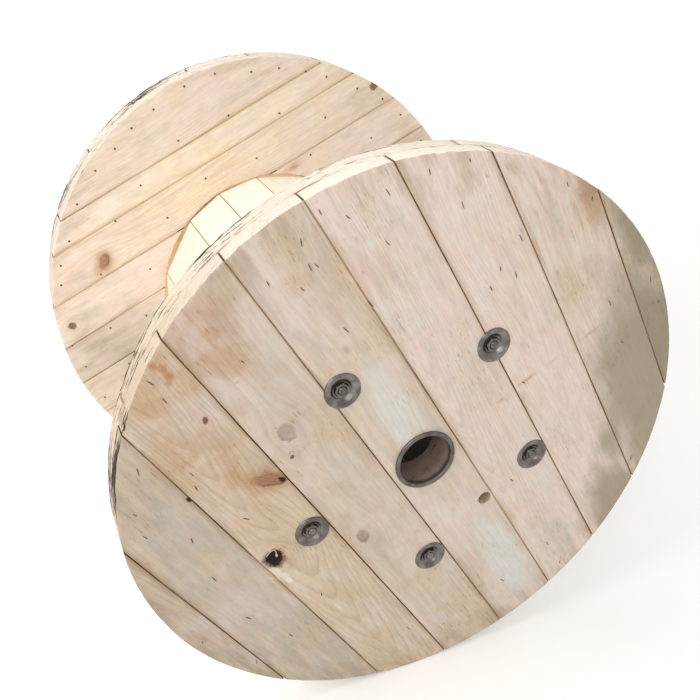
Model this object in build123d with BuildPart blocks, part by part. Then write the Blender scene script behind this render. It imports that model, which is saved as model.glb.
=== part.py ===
from build123d import *
import os
from math import cos, floor, radians, sin

# Wooden cable drum: two round flanges of crossed boards, clamped by tie rods
# over a barrel of staves. Millimetres and degrees. The drum stands on its
# rims with its axis along Y, the front flange towards -Y and the floor at Z = 0.

# Flanges
FLANGE_DIAMETER = 1000
OUTER_PLY = 32              # thickness of the boards that show from outside
INNER_PLY = 32              # thickness of the boards that face the winding space
PLY_GAP = 0.4               # clearance between the two layers
TRAVERSE = 710              # clear width between the two flanges
BOARD_GAP = 1.6             # open joint between boards of one layer
NARROWEST_EDGE_BOARD = 30   # a board left slimmer than this at the rim is not cut

# Board layout, seen from outside the drum, turned from the horizontal
OUTER_BOARD = 127           # also the wide boards beyond the filler board
INNER_BOARD = 92
FILLER_BOARD = 54           # one slim board that makes up the width of the inner layer
FILLER_OFFSET = 331         # from the axis up to the filler board's lower edge
FRONT_TURN = -60.3          # run of the front flange's outer boards
BACK_TURN = 65.9            # run of the back flange's outer boards
PLY_CROSSING = -90          # turn from the outer boards to the inner ones

# Barrel of staves, seated in a ring groove in each flange
BARREL_DIAMETER = 524       # over the outer corners of the staves
STAVE_THICKNESS = 20
STAVE_PATTERN = (128, 86, 90, 103)   # board widths, in the order they follow round the barrel
PATTERN_REPEATS = 4
FIRST_STAVE_JOINT = 163.2   # angle of the joint where the pattern starts
STAVE_GAP = 1.2             # open joint between two staves, at the outer corners
GROOVE_DEPTH = 10
GROOVE_CLEARANCE = 1.0      # beside the staves, inside and outside
STAVE_END_CLEARANCE = 0.2   # from each end of a stave to the floor of its groove

# Tie rods, with a nut in a cup washer at each end
ROD_COUNT = 5
ROD_DIAMETER = 14
ROD_CIRCLE = 443            # diameter of the circle the rods stand on
ROD_PHASE = 130.6           # angle of the first rod, from +X towards +Z
ROD_END = 2.5               # rod end above the flange's face
ROD_HOLE_CLEARANCE = 1.0
WASHER_DIAMETER = 60
WASHER_SHEET = 2.4          # sheet that the washer is pressed from
WASHER_BEVEL = 2.0          # width of the sloping edge of the washer's rim
CUP_MOUTH = 41              # diameter where the cup leaves the washer's rim
CUP_FLOOR = 31              # diameter of the cup's flat floor, on its open side
CUP_DEPTH = 9               # from the rim's outer side down to the floor
RECESS_CLEARANCE = 0.6      # from the cup to the wood round it and under it
NUT_ACROSS_FLATS = 22
NUT_HEIGHT = 7
THREAD_CLEARANCE = 0.2

# Spindle bushes: a sleeve with a rolled lip through the middle of each flange
SPINDLE_BORE = 93
SLEEVE_WALL = 3
SLEEVE_CLEARANCE = 0.5
LIP_WIDTH = 8.5             # from the bore to the lip's outer edge
LIP_HEIGHT = 4.2            # above the flange's face
LIP_BEVEL = 2.6             # width of the slopes on both sides of the lip

# Drive hole in the front flange's outer boards, measured along and across them
DRIVE_HOLE = 26
DRIVE_HOLE_ALONG = 168
DRIVE_HOLE_ACROSS = 48

# Sizes that follow from those above
FLANGE_RADIUS = FLANGE_DIAMETER / 2
LAST_JOINT = FLANGE_RADIUS - NARROWEST_EDGE_BOARD   # farthest place of a board joint from the axis
FLANGE_THICKNESS = OUTER_PLY + PLY_GAP + INNER_PLY
HALF_WIDTH = TRAVERSE / 2 + FLANGE_THICKNESS
AXIS_HEIGHT = FLANGE_RADIUS
BARREL_RADIUS = BARREL_DIAMETER / 2
PATTERN_ANGLE = 360 / PATTERN_REPEATS
STAVE_ANGLES = [PATTERN_ANGLE * width / sum(STAVE_PATTERN) for width in STAVE_PATTERN] * PATTERN_REPEATS
NEAREST_STAVE_FACE = BARREL_RADIUS * cos(radians(max(STAVE_ANGLES) / 2)) - STAVE_THICKNESS
STAVE_LENGTH = TRAVERSE + 2 * (GROOVE_DEPTH - STAVE_END_CLEARANCE)
SLEEVE_RADIUS = SPINDLE_BORE / 2 + SLEEVE_WALL
CUP_SEAT = CUP_DEPTH - WASHER_SHEET     # depth of the cup's floor below the flange's face

FRONT = -1
BACK = 1
SIDES = {"front": (FRONT, FRONT_TURN), "back": (BACK, BACK_TURN)}


def flange_plane(side, depth, turn=0):
    """Plane that faces out of one flange, depth below its outer face, turned about the axis."""
    return Plane(
        origin=(0, side * (HALF_WIDTH - depth), AXIS_HEIGHT),
        x_dir=(-side * cos(radians(turn)), 0, sin(radians(turn))),
        z_dir=(0, side, 0),
    )


def middle_plane(turn=0):
    """Plane half way between the flanges, facing front, turned about the axis."""
    return flange_plane(FRONT, HALF_WIDTH, turn)


def rod_start(side):
    """Angle of the first rod on a plane that faces out of one flange."""
    return ROD_PHASE if side == FRONT else 180 - ROD_PHASE


def board_edges(joints):
    """Lower and upper edge of each board of a layer, with the open joints left out."""
    lows = [-FLANGE_RADIUS] + [joint + BOARD_GAP / 2 for joint in joints]
    highs = [joint - BOARD_GAP / 2 for joint in joints] + [FLANGE_RADIUS]
    return list(zip(lows, highs))


def outer_layout():
    """Places and edges of the boards of an outer layer: equal boards, one of them on the axis."""
    count = floor(LAST_JOINT / OUTER_BOARD + 1 / 2)
    upper_joints = [(number + 1 / 2) * OUTER_BOARD for number in range(count)]
    lower_joints = [-joint for joint in reversed(upper_joints)]
    lower_places = [f"lower_{number}" for number in range(count, 0, -1)]
    upper_places = [f"upper_{number}" for number in range(1, count + 1)]
    return zip(lower_places + ["middle"] + upper_places, board_edges(lower_joints + upper_joints))


def inner_layout():
    """Places and edges of the boards of an inner layer, numbered down from the filler board."""
    filler_top = FILLER_OFFSET + FILLER_BOARD
    below = floor((FILLER_OFFSET + LAST_JOINT) / INNER_BOARD)
    beyond = floor((LAST_JOINT - filler_top) / OUTER_BOARD) + 1
    joints = [FILLER_OFFSET - number * INNER_BOARD for number in range(below, -1, -1)]
    joints += [filler_top + number * OUTER_BOARD for number in range(beyond)]
    places = [str(number) for number in range(below + 1, 0, -1)]
    places += ["filler"] + [f"edge_{number}" for number in range(1, beyond + 1)]
    return zip(places, board_edges(joints))


def save(piece, name):
    """Label a finished piece and write it as a node of its own."""
    piece.label = name
    export_step(piece, f"parts/{name}.step")


# Holes that run right through both flanges, for the sleeves and the rods
with BuildSketch(middle_plane()) as through_holes:
    Circle(SLEEVE_RADIUS + SLEEVE_CLEARANCE)
    with PolarLocations(ROD_CIRCLE / 2, ROD_COUNT, start_angle=ROD_PHASE):
        Circle(ROD_DIAMETER / 2 + ROD_HOLE_CLEARANCE)


def make_outer_boards(name, side, turn):
    """Outer layer of one flange: boards with the cup recesses, and the drive hole in front."""
    layer = flange_plane(side, OUTER_PLY, turn)
    with BuildSketch(flange_plane(side, CUP_SEAT + WASHER_SHEET + RECESS_CLEARANCE)) as recesses:
        with PolarLocations(ROD_CIRCLE / 2, ROD_COUNT, start_angle=rod_start(side)):
            Circle(CUP_MOUTH / 2 + RECESS_CLEARANCE)
    with BuildSketch(layer) as drive_hole:
        with Locations((DRIVE_HOLE_ALONG, DRIVE_HOLE_ACROSS)):
            Circle(DRIVE_HOLE / 2)

    for place, (low, high) in outer_layout():
        with BuildPart() as board:
            with BuildSketch(layer):
                Circle(FLANGE_RADIUS)
                with Locations((0, (low + high) / 2)):
                    Rectangle(FLANGE_DIAMETER, high - low, mode=Mode.INTERSECT)
            extrude(amount=OUTER_PLY)
            extrude(through_holes.sketch, amount=HALF_WIDTH, both=True, mode=Mode.SUBTRACT)
            extrude(recesses.sketch, amount=OUTER_PLY, mode=Mode.SUBTRACT)
            if side == FRONT:
                extrude(drive_hole.sketch, amount=OUTER_PLY, mode=Mode.SUBTRACT)
        save(board.part, f"{name}_outer_board_{place}")


def make_inner_boards(name, side, turn):
    """Inner layer of one flange: boards with the ring groove that the staves stand in."""
    layer = flange_plane(side, FLANGE_THICKNESS, turn + PLY_CROSSING)
    with BuildSketch(layer) as groove:
        Circle(BARREL_RADIUS + GROOVE_CLEARANCE)
        Circle(NEAREST_STAVE_FACE - GROOVE_CLEARANCE, mode=Mode.SUBTRACT)

    for place, (low, high) in inner_layout():
        with BuildPart() as board:
            with BuildSketch(layer):
                Circle(FLANGE_RADIUS)
                with Locations((0, (low + high) / 2)):
                    Rectangle(FLANGE_DIAMETER, high - low, mode=Mode.INTERSECT)
            extrude(amount=INNER_PLY)
            extrude(through_holes.sketch, amount=HALF_WIDTH, both=True, mode=Mode.SUBTRACT)
            extrude(groove.sketch, amount=GROOVE_DEPTH, mode=Mode.SUBTRACT)
        save(board.part, f"{name}_inner_board_{place}")


def make_staves():
    """Flat boards round the barrel, mitred so that each joint lies on a radius."""
    middle = FIRST_STAVE_JOINT
    half_gap = STAVE_GAP / 2
    for number, angle in enumerate(STAVE_ANGLES, start=1):
        middle -= angle / 2
        with BuildPart() as stave:
            with BuildSketch(middle_plane(middle)):
                with BuildLine():
                    outer = PolarLine((0, 0), BARREL_RADIUS, angle / 2, mode=Mode.PRIVATE) @ 1
                    inner = outer * (1 - STAVE_THICKNESS / outer.X)
                    Polyline(
                        (outer.X, half_gap - outer.Y),
                        (outer.X, outer.Y - half_gap),
                        (inner.X, inner.Y - half_gap),
                        (inner.X, half_gap - inner.Y),
                        close=True,
                    )
                make_face()
            extrude(amount=STAVE_LENGTH / 2, both=True)
        save(stave.part, f"stave_{number:02d}")
        middle -= angle / 2


def make_tie_rods():
    """Plain rods from nut to nut."""
    with BuildPart() as rods:
        with BuildSketch(middle_plane()):
            with PolarLocations(ROD_CIRCLE / 2, ROD_COUNT, start_angle=ROD_PHASE):
                Circle(ROD_DIAMETER / 2)
        extrude(amount=HALF_WIDTH + ROD_END, both=True)
    save(rods.part, "tie_rods")


def make_cup_washers():
    """Pressed washers: a flat rim on the wood, and a cup sunk into it for the nut."""
    rim = WASHER_DIAMETER / 2
    mouth = CUP_MOUTH / 2
    floor_edge = CUP_FLOOR / 2
    hole = ROD_DIAMETER / 2 + ROD_HOLE_CLEARANCE
    with BuildPart() as washer:
        with BuildSketch(Plane.XZ):
            with BuildLine():
                Polyline(
                    (hole, -CUP_SEAT),
                    (floor_edge, -CUP_SEAT),
                    (mouth - WASHER_SHEET, WASHER_SHEET),
                    (rim - WASHER_BEVEL, WASHER_SHEET),
                    (rim, 0),
                    (mouth, 0),
                    (floor_edge + WASHER_SHEET, -CUP_SEAT - WASHER_SHEET),
                    (hole, -CUP_SEAT - WASHER_SHEET),
                    close=True,
                )
            make_face()
        revolve(axis=Axis.Z)

    with BuildPart() as washers:
        for side in (FRONT, BACK):
            with Locations(flange_plane(side, 0).location):
                with PolarLocations(ROD_CIRCLE / 2, ROD_COUNT, start_angle=rod_start(side)):
                    add(washer.part)
    save(washers.part, "cup_washers")


def make_nuts():
    """Hexagon nuts on the rod ends, down in the cups."""
    with BuildPart() as nut:
        with BuildSketch():
            RegularPolygon(NUT_ACROSS_FLATS / 2, 6, major_radius=False)
            Circle(ROD_DIAMETER / 2 + THREAD_CLEARANCE, mode=Mode.SUBTRACT)
        extrude(amount=NUT_HEIGHT)

    with BuildPart() as nuts:
        for side in (FRONT, BACK):
            with Locations(flange_plane(side, CUP_SEAT).location):
                with PolarLocations(ROD_CIRCLE / 2, ROD_COUNT, start_angle=rod_start(side)):
                    add(nut.part)
    save(nuts.part, "nuts")


def make_spindle_bushes():
    """Steel sleeves through the flanges, each with a rolled lip on the outer face."""
    bore = SPINDLE_BORE / 2
    with BuildPart() as bush:
        with BuildSketch(Plane.XZ):
            with BuildLine():
                Polyline(
                    (bore, -FLANGE_THICKNESS),
                    (SLEEVE_RADIUS, -FLANGE_THICKNESS),
                    (SLEEVE_RADIUS, 0),
                    (bore + LIP_WIDTH, 0),
                    (bore + LIP_WIDTH - LIP_BEVEL, LIP_HEIGHT),
                    (bore + LIP_BEVEL, LIP_HEIGHT),
                    (bore, 0),
                    close=True,
                )
            make_face()
        revolve(axis=Axis.Z)

    with BuildPart() as bushes:
        for side in (FRONT, BACK):
            with Locations(flange_plane(side, 0).location):
                add(bush.part)
    save(bushes.part, "spindle_bushes")


os.makedirs("parts", exist_ok=True)
for flange, (flange_side, flange_turn) in SIDES.items():
    make_outer_boards(flange, flange_side, flange_turn)
    make_inner_boards(flange, flange_side, flange_turn)
make_staves()
make_tie_rods()
make_cup_washers()
make_nuts()
make_spindle_bushes()
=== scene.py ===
"""Looks of a wooden cable drum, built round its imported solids.

The drum stands on its rims with its axis along Y. Every board, stave and steel fitting is a surface
worked out as whole arrays, in metres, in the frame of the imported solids.
"""
import logging
import math
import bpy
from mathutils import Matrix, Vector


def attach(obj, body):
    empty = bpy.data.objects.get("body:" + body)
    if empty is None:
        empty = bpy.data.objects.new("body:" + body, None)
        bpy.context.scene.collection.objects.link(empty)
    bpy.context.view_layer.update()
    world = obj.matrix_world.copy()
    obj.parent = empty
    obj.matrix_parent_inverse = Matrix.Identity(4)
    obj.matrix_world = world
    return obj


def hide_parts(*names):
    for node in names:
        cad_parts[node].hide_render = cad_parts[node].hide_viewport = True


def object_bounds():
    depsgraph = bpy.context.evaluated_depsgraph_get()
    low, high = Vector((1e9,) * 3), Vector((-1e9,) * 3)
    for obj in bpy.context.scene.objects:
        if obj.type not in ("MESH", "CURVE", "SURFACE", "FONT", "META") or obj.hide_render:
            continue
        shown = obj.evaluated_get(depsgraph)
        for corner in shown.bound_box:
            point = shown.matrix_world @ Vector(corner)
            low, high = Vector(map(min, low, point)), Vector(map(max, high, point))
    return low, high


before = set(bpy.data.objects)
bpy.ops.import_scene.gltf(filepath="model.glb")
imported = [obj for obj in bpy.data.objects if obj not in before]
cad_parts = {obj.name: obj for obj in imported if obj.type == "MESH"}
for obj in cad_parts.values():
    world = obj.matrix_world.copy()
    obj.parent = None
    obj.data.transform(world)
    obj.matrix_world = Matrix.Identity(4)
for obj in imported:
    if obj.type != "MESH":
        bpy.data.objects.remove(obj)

import zlib
from dataclasses import dataclass, field
from enum import Enum

import bmesh
import bpy
import numpy as np
from mathutils import Vector

Array = np.ndarray
Colour = tuple[float, float, float, float]

LOG = logging.getLogger("cable_drum")
CAD_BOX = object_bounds()
LOWEST, HIGHEST = (np.array(corner) for corner in CAD_BOX)
RIM = float(HIGHEST[0] - LOWEST[0]) / 2
AXIS_HEIGHT = float(HIGHEST[2] + LOWEST[2]) / 2
MM = 0.001
SHARP_BEND = 40.0
KNOT_REACH = 2.5
FAR_FROM_KNOT = 9.0
NO_KNOT = -1.0
SAME_PLACE = 1e-7
AT_RIM = 2 * MM
DUST_AND_LIGHT_LEVEL = 418.5 * MM
DUST_AND_LIGHT_FADE = 9 * MM
WASHER_CLEAR = 24 * MM
BUSH_CLEAR = 53 * MM
BARREL_CLEAR = 268 * MM
WHITE = (1.0, 1.0, 1.0, 1.0)


def tint(code: str) -> Colour:
    """Turn a colour code into a linear colour.

    Args:
        code: six figures, two for each channel.

    Returns:
        The colour, with no clearness.
    """
    channels = (int(code[place:place + 2], 16) / 255 for place in (0, 2, 4))
    linear = [c / 12.92 if c <= 0.04045 else ((c + 0.055) / 1.055) ** 2.4 for c in channels]
    return (linear[0], linear[1], linear[2], 1.0)


def seed_of(name: str) -> int:
    """The same seed for the same name on every run."""
    return zlib.crc32(name.encode())


def fade(values: Array, low: float, high: float) -> Array:
    """Smooth step from 0 at low to 1 at high."""
    share = np.clip((values - low) / (high - low), 0, 1)
    return share * share * (3 - 2 * share)


class Wire:
    """A socket of a shader graph that does maths through Python's operators."""

    def __init__(self, graph: "Graph", socket: bpy.types.NodeSocket) -> None:
        """Hold a socket and the graph that it belongs to."""
        self.graph = graph
        self.socket = socket

    def maths(self, operation: str, *values: "Wire | float") -> "Wire":
        """Add one Math node on the given values."""
        return self.graph.node("ShaderNodeMath", {"operation": operation}, dict(enumerate(values)))

    def __add__(self, other: "Wire | float") -> "Wire":
        """Sum."""
        return self.maths("ADD", self, other)

    def __radd__(self, other: float) -> "Wire":
        """Sum with a plain number first."""
        return self.maths("ADD", other, self)

    def __sub__(self, other: "Wire | float") -> "Wire":
        """Difference."""
        return self.maths("SUBTRACT", self, other)

    def __rsub__(self, other: float) -> "Wire":
        """Difference with a plain number first."""
        return self.maths("SUBTRACT", other, self)

    def __mul__(self, other: "Wire | float") -> "Wire":
        """Product."""
        return self.maths("MULTIPLY", self, other)

    def __rmul__(self, other: float) -> "Wire":
        """Product with a plain number first."""
        return self.maths("MULTIPLY", other, self)

    def __truediv__(self, other: "Wire | float") -> "Wire":
        """Quotient."""
        return self.maths("DIVIDE", self, other)

    def __abs__(self) -> "Wire":
        """Size without the sign."""
        return self.maths("ABSOLUTE", self)

    def fract(self) -> "Wire":
        """Part after the point."""
        return self.maths("FRACT", self)

    def root(self) -> "Wire":
        """Square root."""
        return self.maths("SQRT", self)

    def sine(self) -> "Wire":
        """Sine."""
        return self.maths("SINE", self)

    def most(self, other: "Wire | float") -> "Wire":
        """The larger of two values."""
        return self.maths("MAXIMUM", self, other)

    def fade(self, low: float, high: float) -> "Wire":
        """Smooth step from 0 at low to 1 at high; low may be the larger one."""
        start, end = (0.0, 1.0) if low < high else (1.0, 0.0)
        return self.graph.node(
            "ShaderNodeMapRange", {"interpolation_type": "SMOOTHSTEP"},
            {0: self, 1: min(low, high), 2: max(low, high), 3: start, 4: end})

    def split(self) -> "tuple[Wire, Wire, Wire]":
        """The three parts of a vector."""
        node = self.graph.node("ShaderNodeSeparateXYZ", {}, {0: self}).socket.node
        return tuple(Wire(self.graph, node.outputs[part]) for part in range(3))

    def stretch(self, x: float, y: float, z: float) -> "Wire":
        """A vector with its parts multiplied."""
        return self.graph.node(
            "ShaderNodeVectorMath", {"operation": "MULTIPLY"}, {0: self, 1: (x, y, z)})


class Graph:
    """A node graph of a material or of the world."""

    def __init__(self, tree: bpy.types.NodeTree) -> None:
        """Take an empty node tree."""
        self.tree = tree
        self.tree.nodes.clear()

    def node(self, kind: str, settings: dict, inputs: dict, output: int | None = 0) -> "Wire | None":
        """Add one node.

        Args:
            kind: the node's type.
            settings: its properties, set first; "stops" gives a ramp's places and colours.
            inputs: values or wires by socket number or name.
            output: number of the output to return, or None where it has none.

        Returns:
            A wire from that output.
        """
        node = self.tree.nodes.new(kind)
        for key, value in settings.items():
            if key == "stops":
                elements = node.color_ramp.elements
                while len(elements) < len(value):
                    elements.new(1.0)
                for element, (place, colour) in zip(elements, value):
                    element.position = place
                    element.color = colour
            else:
                setattr(node, key, value)
        for key, value in inputs.items():
            if isinstance(value, Wire):
                self.tree.links.new(value.socket, node.inputs[key])
            else:
                node.inputs[key].default_value = value
        return None if output is None else Wire(self, node.outputs[output])

    def attribute(self, name: str) -> Wire:
        """A vector that the mesh carries."""
        return self.node("ShaderNodeAttribute", {"attribute_name": name}, {}, 1)

    def place(self) -> Wire:
        """Object coordinates."""
        return self.node("ShaderNodeTexCoord", {}, {}, 3)

    def noise(self, vector: Wire, scale: float, detail: float = 2.0, rough: float = 0.5) -> Wire:
        """Noise from 0 to 1, about 0.5."""
        return self.node("ShaderNodeTexNoise", {},
                         {"Vector": vector, "Scale": scale, "Detail": detail, "Roughness": rough})

    def mix(self, factor: "Wire | float", first: "Wire | Colour", second: "Wire | Colour",
            blend: str = "MIX") -> Wire:
        """Mix two colours."""
        return self.node("ShaderNodeMix", {"data_type": "RGBA", "blend_type": blend, "clamp_factor": True},
                         {0: factor, 6: first, 7: second}, 2)

    def coats(self, colour: "Wire | Colour", *coats: "tuple[Wire | float, str]") -> Wire:
        """Lay colours over one another in order.

        Args:
            colour: what lies below.
            coats: for each coat, the share that it covers and its colour code.

        Returns:
            The colour that shows.
        """
        for share, code in coats:
            colour = self.mix(share, colour, tint(code))
        return colour

    def grey(self, value: Wire) -> Wire:
        """A colour with the same value in all three channels."""
        return self.node("ShaderNodeCombineXYZ", {}, {0: value, 1: value, 2: value})

    def seen(self) -> Wire:
        """Tell rays that show something from rays that light it.

        Returns:
            One for rays of the camera, of reflections and of clear things, and none for light.
        """
        path = self.node("ShaderNodeLightPath", {}, {}).socket.node
        camera, glossy, clear = (
            Wire(self, path.outputs[f"Is {kind} Ray"]) for kind in ("Camera", "Glossy", "Transmission"))
        return camera.most(glossy).most(clear)


class Finish(Graph):
    """Node graph of one material, ending in a Principled shader."""

    def __init__(self, name: str) -> None:
        """Make a material with only its shader and output.

        Args:
            name: the material's name.
        """
        self.material = bpy.data.materials.new(name)
        self.material.use_nodes = True
        super().__init__(self.material.node_tree)
        shaded = self.node("ShaderNodeBsdfPrincipled", {}, {})
        self.shader = shaded.socket.node
        self.node("ShaderNodeOutputMaterial", {}, {0: shaded}, None)

    def bump(self, height: Wire, distance: float, strength: float) -> None:
        """Feed a height, in metres once multiplied by distance, to the shader's normal."""
        normal = self.node("ShaderNodeBump", {},
                           {"Height": height, "Distance": distance, "Strength": strength})
        self.feed("Normal", normal)

    def feed(self, socket: str, value: "Wire | float | Colour") -> None:
        """Set or link a socket of the shader.

        Args:
            socket: the socket's name.
            value: a wire, or what is the same all over.
        """
        if isinstance(value, Wire):
            self.tree.links.new(value.socket, self.shader.inputs[socket])
        else:
            self.shader.inputs[socket].default_value = value


class WoodMaps:
    """What the shader of a board reads: values that its points carry, and noises in waves a metre."""

    def __init__(self, g: Finish) -> None:
        """Read the attributes and add the noises, many of them drawn out along the grain.

        Args:
            g: graph of the material.
        """
        self.graph = g
        place = g.place()
        rimwise = g.attribute("rimwise")
        self.grain = g.attribute("grain")
        self.knot = g.attribute("knot")
        self.warmth, self.greyness, self.light = g.attribute("tone").split()
        self.damp_and_shadow, self.stain, self.bleach = g.attribute("patina").split()
        self.joint, self.rim, self.dirt = g.attribute("wear").split()
        self.tan = g.attribute("tan").split()[0]
        self.figure = rimwise.split()[2]
        facing = abs(g.node("ShaderNodeNewGeometry", {}, {}, 1).split()[1])
        self.side = facing.fade(0.8, 0.45)
        self.outside = self.rim.fade(16 * MM, 10 * MM)
        self.edge = self.side * self.outside

        self.fibre = self.grained(9.0, 300.0, 3.0, 0.6)
        self.streak = self.grained(3.0, 60.0, 4.0, 0.6)
        self.mottle = self.grained(11.0, 32.0, 4.0, 0.62)
        self.grime = self.grained(40.0, 110.0, 4.0, 0.65)
        self.cloud = g.noise(place, 4.5, 4.0, 0.55)
        self.haze = g.noise(place, 13.0, 5.0, 0.62)
        self.blush = g.noise(place, 25.0, 3.0, 0.6)
        self.speck = g.noise(place, 62.0, 4.0, 0.66)
        self.grit = g.noise(place, 190.0, 3.0, 0.6)
        self.fleck = self.grained(48.0, 420.0, 2.0).fade(0.6, 0.7) * self.haze.fade(0.5, 0.64)
        self.dash = g.noise(rimwise.stretch(22.0, 210.0, 60.0), 1.0, 4.0, 0.66)
        self.sliver = g.noise(rimwise.stretch(70.0, 520.0, 120.0), 1.0, 3.0, 0.6)
        # Dampness, also used as painted shadow: the share of its greyish coat, uneven at the edge.
        wet_and_shaded = self.damp_and_shadow * 1.15 + (self.haze - 0.5) * 0.45 + (self.mottle - 0.5) * 0.35
        self.soaked_and_shaded = wet_and_shaded.fade(0.2, 0.9)

    def grained(self, along: float, across: float, detail: float, rough: float = 0.5) -> Wire:
        """Noise with its waves a metre along and across the grain."""
        return self.graph.noise(self.grain.stretch(along, across, across), 1.0, detail, rough)


@dataclass(frozen=True)
class SawnWood:
    """Weathered sawn softwood that shows the rings of the log it was cut from."""

    name: str
    early: str = "DACBB8"
    late: str = "B69B80"
    pink: str = "DFCCC2"
    honey: str = "D0BA96"
    grey: str = "BFB4A7"
    bleached: str = "D8D8D0"
    stain: str = "B57C4E"
    # dark grey colour of dampness; over the right side of the front flange it is painted shadow
    damp_and_shadow: str = "9B8F79"
    weathered: str = "A78763"
    blush: str = "D9B8A6"
    knot_sound: str = "7E6E6A"
    knot_red: str = "96685A"
    knot_brown: str = "74482B"
    knot_hollow: str = "2E2018"
    bark: str = "6A503E"
    # painted shade on the walls of the gaps between boards and staves
    crevice_shade: str = "5A432E"
    # brown painted shade on the walls of holes and joints; on staves, whose faces all count as sides, a tint
    # over every face
    hole: str = "A88862"
    rim: str = "EAE2D3"
    rim_tan: str = "C7AD92"
    rim_dirt: str = "2A2016"
    ring_width: float = 0.0058
    fleck_share: float = 0.46
    streak_share: float = 0.42

    def material(self) -> bpy.types.Material:
        """Rings, fibres, knots, stains and worn rims.

        Returns:
            The material, which reads the attributes grain, tone, patina, knot, wear, rimwise and tan.
        """
        g = Finish(self.name)
        m = WoodMaps(g)
        rings = self.rings(m)
        colour = self.knots(m, self.aged(m, self.sawn(m, rings)))
        colour = self.edges(m, colour)
        rough = (m.fibre - 0.5) * 0.3 + (m.grime - 0.5) * 0.3
        # Fibre contrast is weaker under the coat of dampness and painted shadow, and on grey boards.
        rough = rough * (1 - m.soaked_and_shaded * 0.55) * (1 - m.greyness * 0.8)
        g.feed("Base Color", g.mix(1.0, colour, g.grey(m.light * (1 + rough)), "MULTIPLY"))
        g.feed("Roughness", 0.62 + m.fibre * 0.25 + m.edge * 0.3)
        g.feed("Specular IOR Level", 0.16)

        saw = m.grained(150.0, 6.0, 2.0)
        height = m.fibre * 0.6 + m.streak * 0.3 + saw * 0.15 + m.speck * 0.25 - rings * 0.25 - m.fleck * 0.4
        g.bump(height + m.edge * (m.dash + m.sliver) * 1.1, 0.9 * MM, 0.5)
        return g.material

    def rings(self, m: WoodMaps) -> Wire:
        """Late wood of the log's rings: a wave of the distance from the pith, stronger in some parts.

        Args:
            m: what the board carries.

        Returns:
            Share of late wood.
        """
        _, across, deep = m.grain.split()
        radius = (across * across + deep * deep).root()
        wander = m.grained(1.6, 9.0, 3.0) - 0.5
        turn = (radius / self.ring_width + wander * 2.6).fract()
        late = turn.fade(0.45, 0.92) * turn.fade(1.0, 0.95)
        strength = m.grained(1.5, 6.0, 2.0).fade(0.34, 0.66) * m.figure
        return late * (strength * 0.62 + 0.06)

    def sawn(self, m: WoodMaps, rings: Wire) -> Wire:
        """A sawn face: streaks, clouds of pink and honey, grey, and the rings.

        Args:
            m: what the board carries.
            rings: share of late wood.

        Returns:
            The colour.
        """
        return m.graph.coats(
            tint(self.early),
            (m.streak.fade(0.36, 0.68) * self.streak_share, self.late),
            ((m.cloud + m.warmth * 0.25).fade(0.4, 0.64) * 0.75, self.pink),
            ((m.haze - m.warmth * 0.2).fade(0.46, 0.68) * 0.6, self.honey),
            ((m.mottle + m.greyness * 0.5).fade(0.5, 0.85) * 0.75, self.grey),
            (rings * 0.75, self.late),
            (m.blush.fade(0.53, 0.7) * 0.3, self.blush),
            (m.blush.fade(0.47, 0.32) * 0.22, self.bleached))

    def aged(self, m: WoodMaps, colour: Wire) -> Wire:
        """A face after years outside: bleached, worn towards its edges, stained, torn, darkened by dampness and
        by painted shadow, and flecked.

        Args:
            m: what the board carries.
            colour: the sawn face.

        Returns:
            The colour.
        """
        g = m.graph
        pale = m.bleach * 0.75 + (m.mottle - 0.5) * 1.1 + (m.cloud - 0.5) * 0.5
        worn = m.rim.fade(0.1, 0.0) * m.mottle.fade(0.42, 0.64) * 0.32
        worn = worn + m.joint.fade(12 * MM, 0.0) * m.streak.fade(0.4, 0.62) * 0.4
        worn = worn + m.joint.fade(3.5 * MM, 0.6 * MM) * 0.2
        stained = (m.stain * (0.55 + m.haze.fade(0.36, 0.64) * 0.6)).fade(0.1, 1.0)
        colour = g.coats(colour, (pale.fade(0.25, 0.85) * 0.75, self.bleached), (worn, self.weathered),
                         (stained * 0.8, self.stain))
        fresh = (m.stain * -1.0 + (m.grime - 0.5) * 0.8).fade(0.25, 0.5)
        torn = g.coats(tint(self.rim), (m.streak.fade(0.4, 0.6), self.honey))
        flecks = m.fleck * self.fleck_share + m.speck.fade(0.66, 0.76) * 0.28
        colour = g.mix(fresh * 0.9, colour, torn)
        # The greyish coat of dampness also paints the shadow over the right side of the front flange.
        return g.coats(colour, (m.soaked_and_shaded * 0.85, self.damp_and_shadow), (flecks, self.knot_brown))

    def knots(self, m: WoodMaps, colour: Wire) -> Wire:
        """Knots: a heart in the colour of its kind with rings and checks, and bark round it, stronger on one
        side as painted shade.

        Args:
            m: what the board carries.
            colour: the wood round the knots.

        Returns:
            The colour.
        """
        g = m.graph
        along, across, kind = m.knot.split()
        near = kind.fade(-0.6, -0.1)
        reach = (along * along + across * across).root()
        wobble = reach + (m.haze - 0.5) * 0.5 + (m.speck - 0.5) * 0.9 + (m.grit - 0.5) * 0.6
        core = wobble.fade(1.15, 0.7) * near
        spike = g.noise(m.knot.stretch(1.3, 5.5, 13.0), 1.0, 3.0, 0.6)
        heart = g.node("ShaderNodeValToRGB", {"stops": [
            (0.3, tint(self.knot_sound)), (0.5, tint(self.knot_red)),
            (0.62, tint(self.knot_brown)), (0.88, tint(self.knot_hollow))]}, {0: kind})
        grown = ((wobble * 16.0).sine() * 0.22 + spike.fade(0.4, 0.62) * 0.5 + 0.1) * kind.fade(0.62, 0.55)
        heart = g.coats(heart, (grown, self.weathered))
        patchy = 0.66 + (m.grime - 0.5) * 1.3 + (m.speck - 0.5) * 0.8
        colour = g.mix(core * (kind * 0.3 + 0.8) * patchy.most(kind.fade(0.5, 0.66)), colour, heart)
        checks = spike.fade(0.55, 0.62) * core * kind.fade(0.3, 0.5) * kind.fade(0.8, 0.6)
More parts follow.
